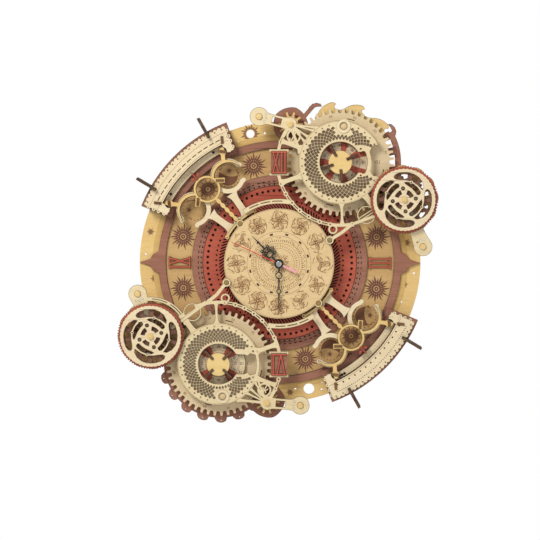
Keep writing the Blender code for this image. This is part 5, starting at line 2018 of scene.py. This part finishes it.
@dataclass
class MoonFrame:
    """The sun ring, the two moon rings, their legs and the dial's clip."""

    tag: str
    middle: float
    post_angle: float

    def build(self) -> None:
        """Make the pale under layer, the honey frame and its fittings."""
        self.sun = polar(SUN_REACH, self.middle)
        self.post = polar(POST_REACH, self.post_angle)
        self.moons = [polar(MOON_REACH, self.middle + turn) for turn in (-MOON_LEAN, MOON_LEAN)]
        self.make_base()
        self.make_frame()
        self.make_pointer()

    def make_base(self) -> None:
        """Cut the pale moon rings and their legs."""
        plan = Plan(f"{self.tag}_moon_rings", *levels(f"{self.tag}_moon_base"))
        plan.add(arc(67.6, 72.4, self.middle - 19.0, self.middle + 19.0))
        plan.add(circle(8.0, self.post, 36), circle(3.8, self.post, 24))
        for side, moon in zip((-1, 1), self.moons):
            facing = self.middle + side * 119.0
            plan.add(arc(15.4, 21.0, facing + 29.0, facing + 331.0, moon))
            for end in (29.0, 331.0):
                tip = polar(19.4, facing + end, moon)
                plan.add(circle(3.0, tip, 18))
            angle = self.middle + side * 10.0
            plan.add(waist(polar(101.0, angle), polar(70.2, angle), 15.0, 8.2))
        plan.add(circle(16.0, self.sun, 60), circle(13.4, self.sun, 50))
        plan.cut(circle(13.2, self.sun, 48), *[circle(15.3, moon, 44) for moon in self.moons])
        Bench.keep(plan.make(Finishes.pale), FRAME, "cream", f"{self.tag}_moon_base")

    def make_frame(self) -> None:
        """Cut the honey sun ring, its crescents, strut and clip."""
        back, front = levels(f"{self.tag}_moon_frame")
        plan = Plan(f"{self.tag}_sun_ring", back, front)
        plan.add(circle(16.1, self.sun, 64), circle(13.4, self.sun, 56))
        tabs = []
        for side, moon in zip((-1, 1), self.moons):
            plan.add(self.thin_crescent(moon, self.middle - 95.0, self.middle + 95.0))
            link, lean = polar(149.6, self.middle + side * 17.4), self.middle - side * 39.0
            plan.add(circle(5.0, link, 26))
            plan.add(bar(link, polar(18.0, self.middle + side * 28.0, moon), 5.0))
            tabs.append(bar(polar(4.2, lean + 180.0, link), polar(4.2, lean, link), 3.2))
            nub, lean = polar(121.8, self.middle + side * 8.7), self.middle - side * 48.0
            plan.add(bar(polar(6.0, lean, nub), polar(6.0, lean + 180.0, nub), 6.4))
            tabs.append(bar(polar(4.8, lean, nub), polar(4.8, lean + 180.0, nub), 3.0))
        strut = [(107.6 - 37.0 * i / 40, 1.3 + 1.3 * abs(sin(pi * i / 8))) for i in range(41)]
        plan.add([self.across(r, w) for r, w in strut] + [self.across(r, -w) for r, w in reversed(strut)])
        plan.add(circle(5.0, self.post, 30))
        plan.add(arc(68.2, 70.8, self.middle - 19.0, self.middle + 19.0))
        for turn in (-19.0, 19.0):
            plan.add(
                circle(2.6, polar(69.6, self.middle + turn), 18),
                circle(1.0, polar(69.6, self.middle + turn), 10)
            )
        plan.cut(circle(13.3, self.sun, 48), circle(3.8, self.post, 24))
        Bench.keep(plan.make(Finishes.honey), FRAME, "honey", f"{self.tag}_moon_frame")
        sheet = Bench.sheet(f"{self.tag}_moon_tabs", tabs, front + LIFT, front + 1.2)
        Bench.lay(sheet, Finishes.tab, FRAME, "burnt", width=0.0)

    def across(self, radius: float, offset: float) -> Point:
        """Return a point beside the frame's own radius."""
        base, side = polar(radius, self.middle), polar(offset, self.middle + 90.0)
        return (base[0] + side[0], base[1] + side[1])

    @staticmethod
    def thin_crescent(centre: Point, start: float, end: float) -> Outline:
        """Return an arc that swells in its middle."""
        angles = spread(start, end, 25)
        outer = [polar(19.4, a, centre) for a in angles]
        inner = [polar(18.6 - 3.0 * sin(pi * i / 24) ** 0.8, a, centre) for i, a in enumerate(angles)]
        return outer + inner[::-1]

    def make_pointer(self) -> None:
        """Cut the small red bow beyond the sun ring."""
        back, front = levels(f"{self.tag}_moon_frame")
        spot = polar(143.4, self.middle)
        plan = Plan(f"{self.tag}_pointer", back + 0.3, front + 0.4)
        plan.add(bar(polar(139.0, self.middle), polar(150.0, self.middle), 1.5))
        for side in (-1, 1):
            wing = [
                polar(0.6, self.middle + side * 90.0, spot), polar(6.0, self.middle + side * 62.0, spot)
            ]
            wing += [
                polar(6.8, self.middle + side * 84.0, spot),
                polar(4.2, self.middle + side * 112.0, spot)
            ]
            plan.add(wing)
        Bench.keep(plan.make(Finishes.red), FRAME, "red")


class Studio:
    """The plain pale room, its soft lights and the camera."""

    ambient: float = 0.42

    def build(self) -> None:
        """Set the floor, the lights, the world and the camera."""
        self.make_floor()
        self.make_lights()
        self.make_camera()

    def make_floor(self) -> None:
        """Lay a round pale floor below the clock."""
        Bench.deselect()
        bpy.ops.mesh.primitive_circle_add(
            vertices=96, radius=1.3, fill_type="NGON", location=(0.0, 0.0, -0.75)
        )
        floor = bpy.context.view_layer.objects.active
        floor.name = "studio_floor"
        pot = Recipe("studio_floor")
        pot.feed(Base_Color=(0.92, 0.92, 0.92), Roughness=0.9)
        floor.data.materials.append(pot.material)

    def make_lights(self) -> None:
        """Hang one large key light to the upper left, and soft fill."""
        lamps = (
            ("key", (-0.85, -1.15, 1.15), 0.55, 22.0),
            ("fill", (1.3, -1.5, 0.1), 1.4, 5.0),
            ("rear", (0.5, 1.5, 0.9), 1.2, 16.0),
        )
        for name, place, size, power in lamps:
            lamp = bpy.data.lights.new(name, "AREA")
            lamp.size = size
            lamp.energy = power
            holder = bpy.data.objects.new(name, lamp)
            holder.location = place
            direction = -holder.location.normalized()
            holder.rotation_euler = direction.to_track_quat("-Z", "Y").to_euler()
            bpy.context.scene.collection.objects.link(holder)
        world = bpy.data.worlds.new("studio")
        world.use_nodes = True
        world.node_tree.nodes["Background"].inputs["Color"].default_value = (1.0, 1.0, 1.0, 1.0)
        glow = world.node_tree.nodes["Background"].inputs["Strength"]
        path = world.node_tree.nodes.new("ShaderNodeLightPath")
        seen = world.node_tree.nodes.new("ShaderNodeMapRange")
        seen.inputs["To Min"].default_value = self.ambient
        seen.inputs["To Max"].default_value = 1.0
        world.node_tree.links.new(path.outputs["Is Camera Ray"], seen.inputs["Value"])
        world.node_tree.links.new(seen.outputs["Result"], glow)
        bpy.context.scene.world = world
        bpy.context.scene.view_settings.view_transform = "Standard"

    def make_camera(self) -> None:
        """Stand the camera square on to the dial, a little above and right."""
        lens = bpy.data.cameras.new("camera")
        camera = bpy.data.objects.new("camera", lens)
        bpy.context.scene.collection.objects.link(camera)
        distance, azimuth, elevation = 1.9, 2.5, 4.0
        target = (-0.0112, -0.012, -0.0083)
        a, e = radians(azimuth), radians(elevation)
        camera.location = (
            target[0] + distance * sin(a) * cos(e),
            target[1] - distance * cos(a) * cos(e),
            target[2] + distance * sin(e),
        )
        camera.rotation_euler = (pi / 2 - e, 0.0, a)
        lens.sensor_width = 36.0
        lens.lens = 36.0 * distance / 0.648
        lens.clip_start = 0.05
        bpy.context.scene.camera = camera


def main() -> None:
    """Build the clock piece by piece, then the studio."""
    logging.basicConfig(level=logging.INFO, format="%(message)s")
    BackPlate().build()
    for node, text, angle, width in (
        ("numeral_nine", "IX", 180.0, 14.6), ("numeral_three", "III", 0.0, 14.6),
        ("numeral_twelve", "XII", 90.0, 18.2), ("numeral_six", "VI", -90.0, 18.2),
    ):
        Numeral(node, text, angle, width, backed=abs(angle) == 90.0).build()
    Dial().build()
    CalendarCluster(
        tag="upper",
        side=1,
        fins=(24.0, 122.0, 199.0, 275.0),
        boss_angle=84.7,
        boss_radius=42.8,
        strut_turn=27.0,
        ears=((-23.5, 174.7), (170.9, 20.8)),
        band_dots=(161.0, 200.0, 210.0, 220.0, 230.0, 240.0, 251.0, 261.0, 281.0),
        cells=44,
        sectors=(7, 14.0, 22.0, 31.6),
        month_radius=44.8,
        veil=Finishes.umber,
    ).build()
    CalendarCluster(
        tag="lower",
        side=-1,
        fins=(45.0, 135.0, 225.0, 315.0),
        boss_angle=-83.0,
        boss_radius=39.4,
        strut_turn=38.0,
        ears=((25.7, -169.9), (-169.3, -36.6)),
        band_dots=(-24.0, -14.0, 25.5, 35.5, 45.0, 55.0, 65.0, 74.0, 84.0, 103.0),
        cells=50,
        sectors=(4, 27.0, 36.0, 24.4),
        month_radius=37.0,
        veil=Finishes.bark,
    ).build()
    for tag, middle, post in (("left", 134.2, 134.3), ("right", 314.2, -45.1)):
        OuterScale(tag, middle, tag == "left").build()
        MoonFrame(tag, middle, post).build()
    dress_rest()
    Studio().build()


def dress_rest() -> None:
    """Give each CAD solid that still shows its own finish."""
    looks = {"cream": Finishes.cream, "mauve": Finishes.mauve, "red": Finishes.red, "honey": Finishes.honey}
    looks |= {"burnt": Finishes.burnt, "taupe": Finishes.taupe}
    for part in frame["record"]["subparts"]:
        node = frame["nodes"][part["node"]]
        if part["material_slot"] in looks and not node.hide_render:
            node.data.materials.clear()
            node.data.materials.append(Finishes.face(looks[part["material_slot"]]))


if __name__ == "__main__":
    main()
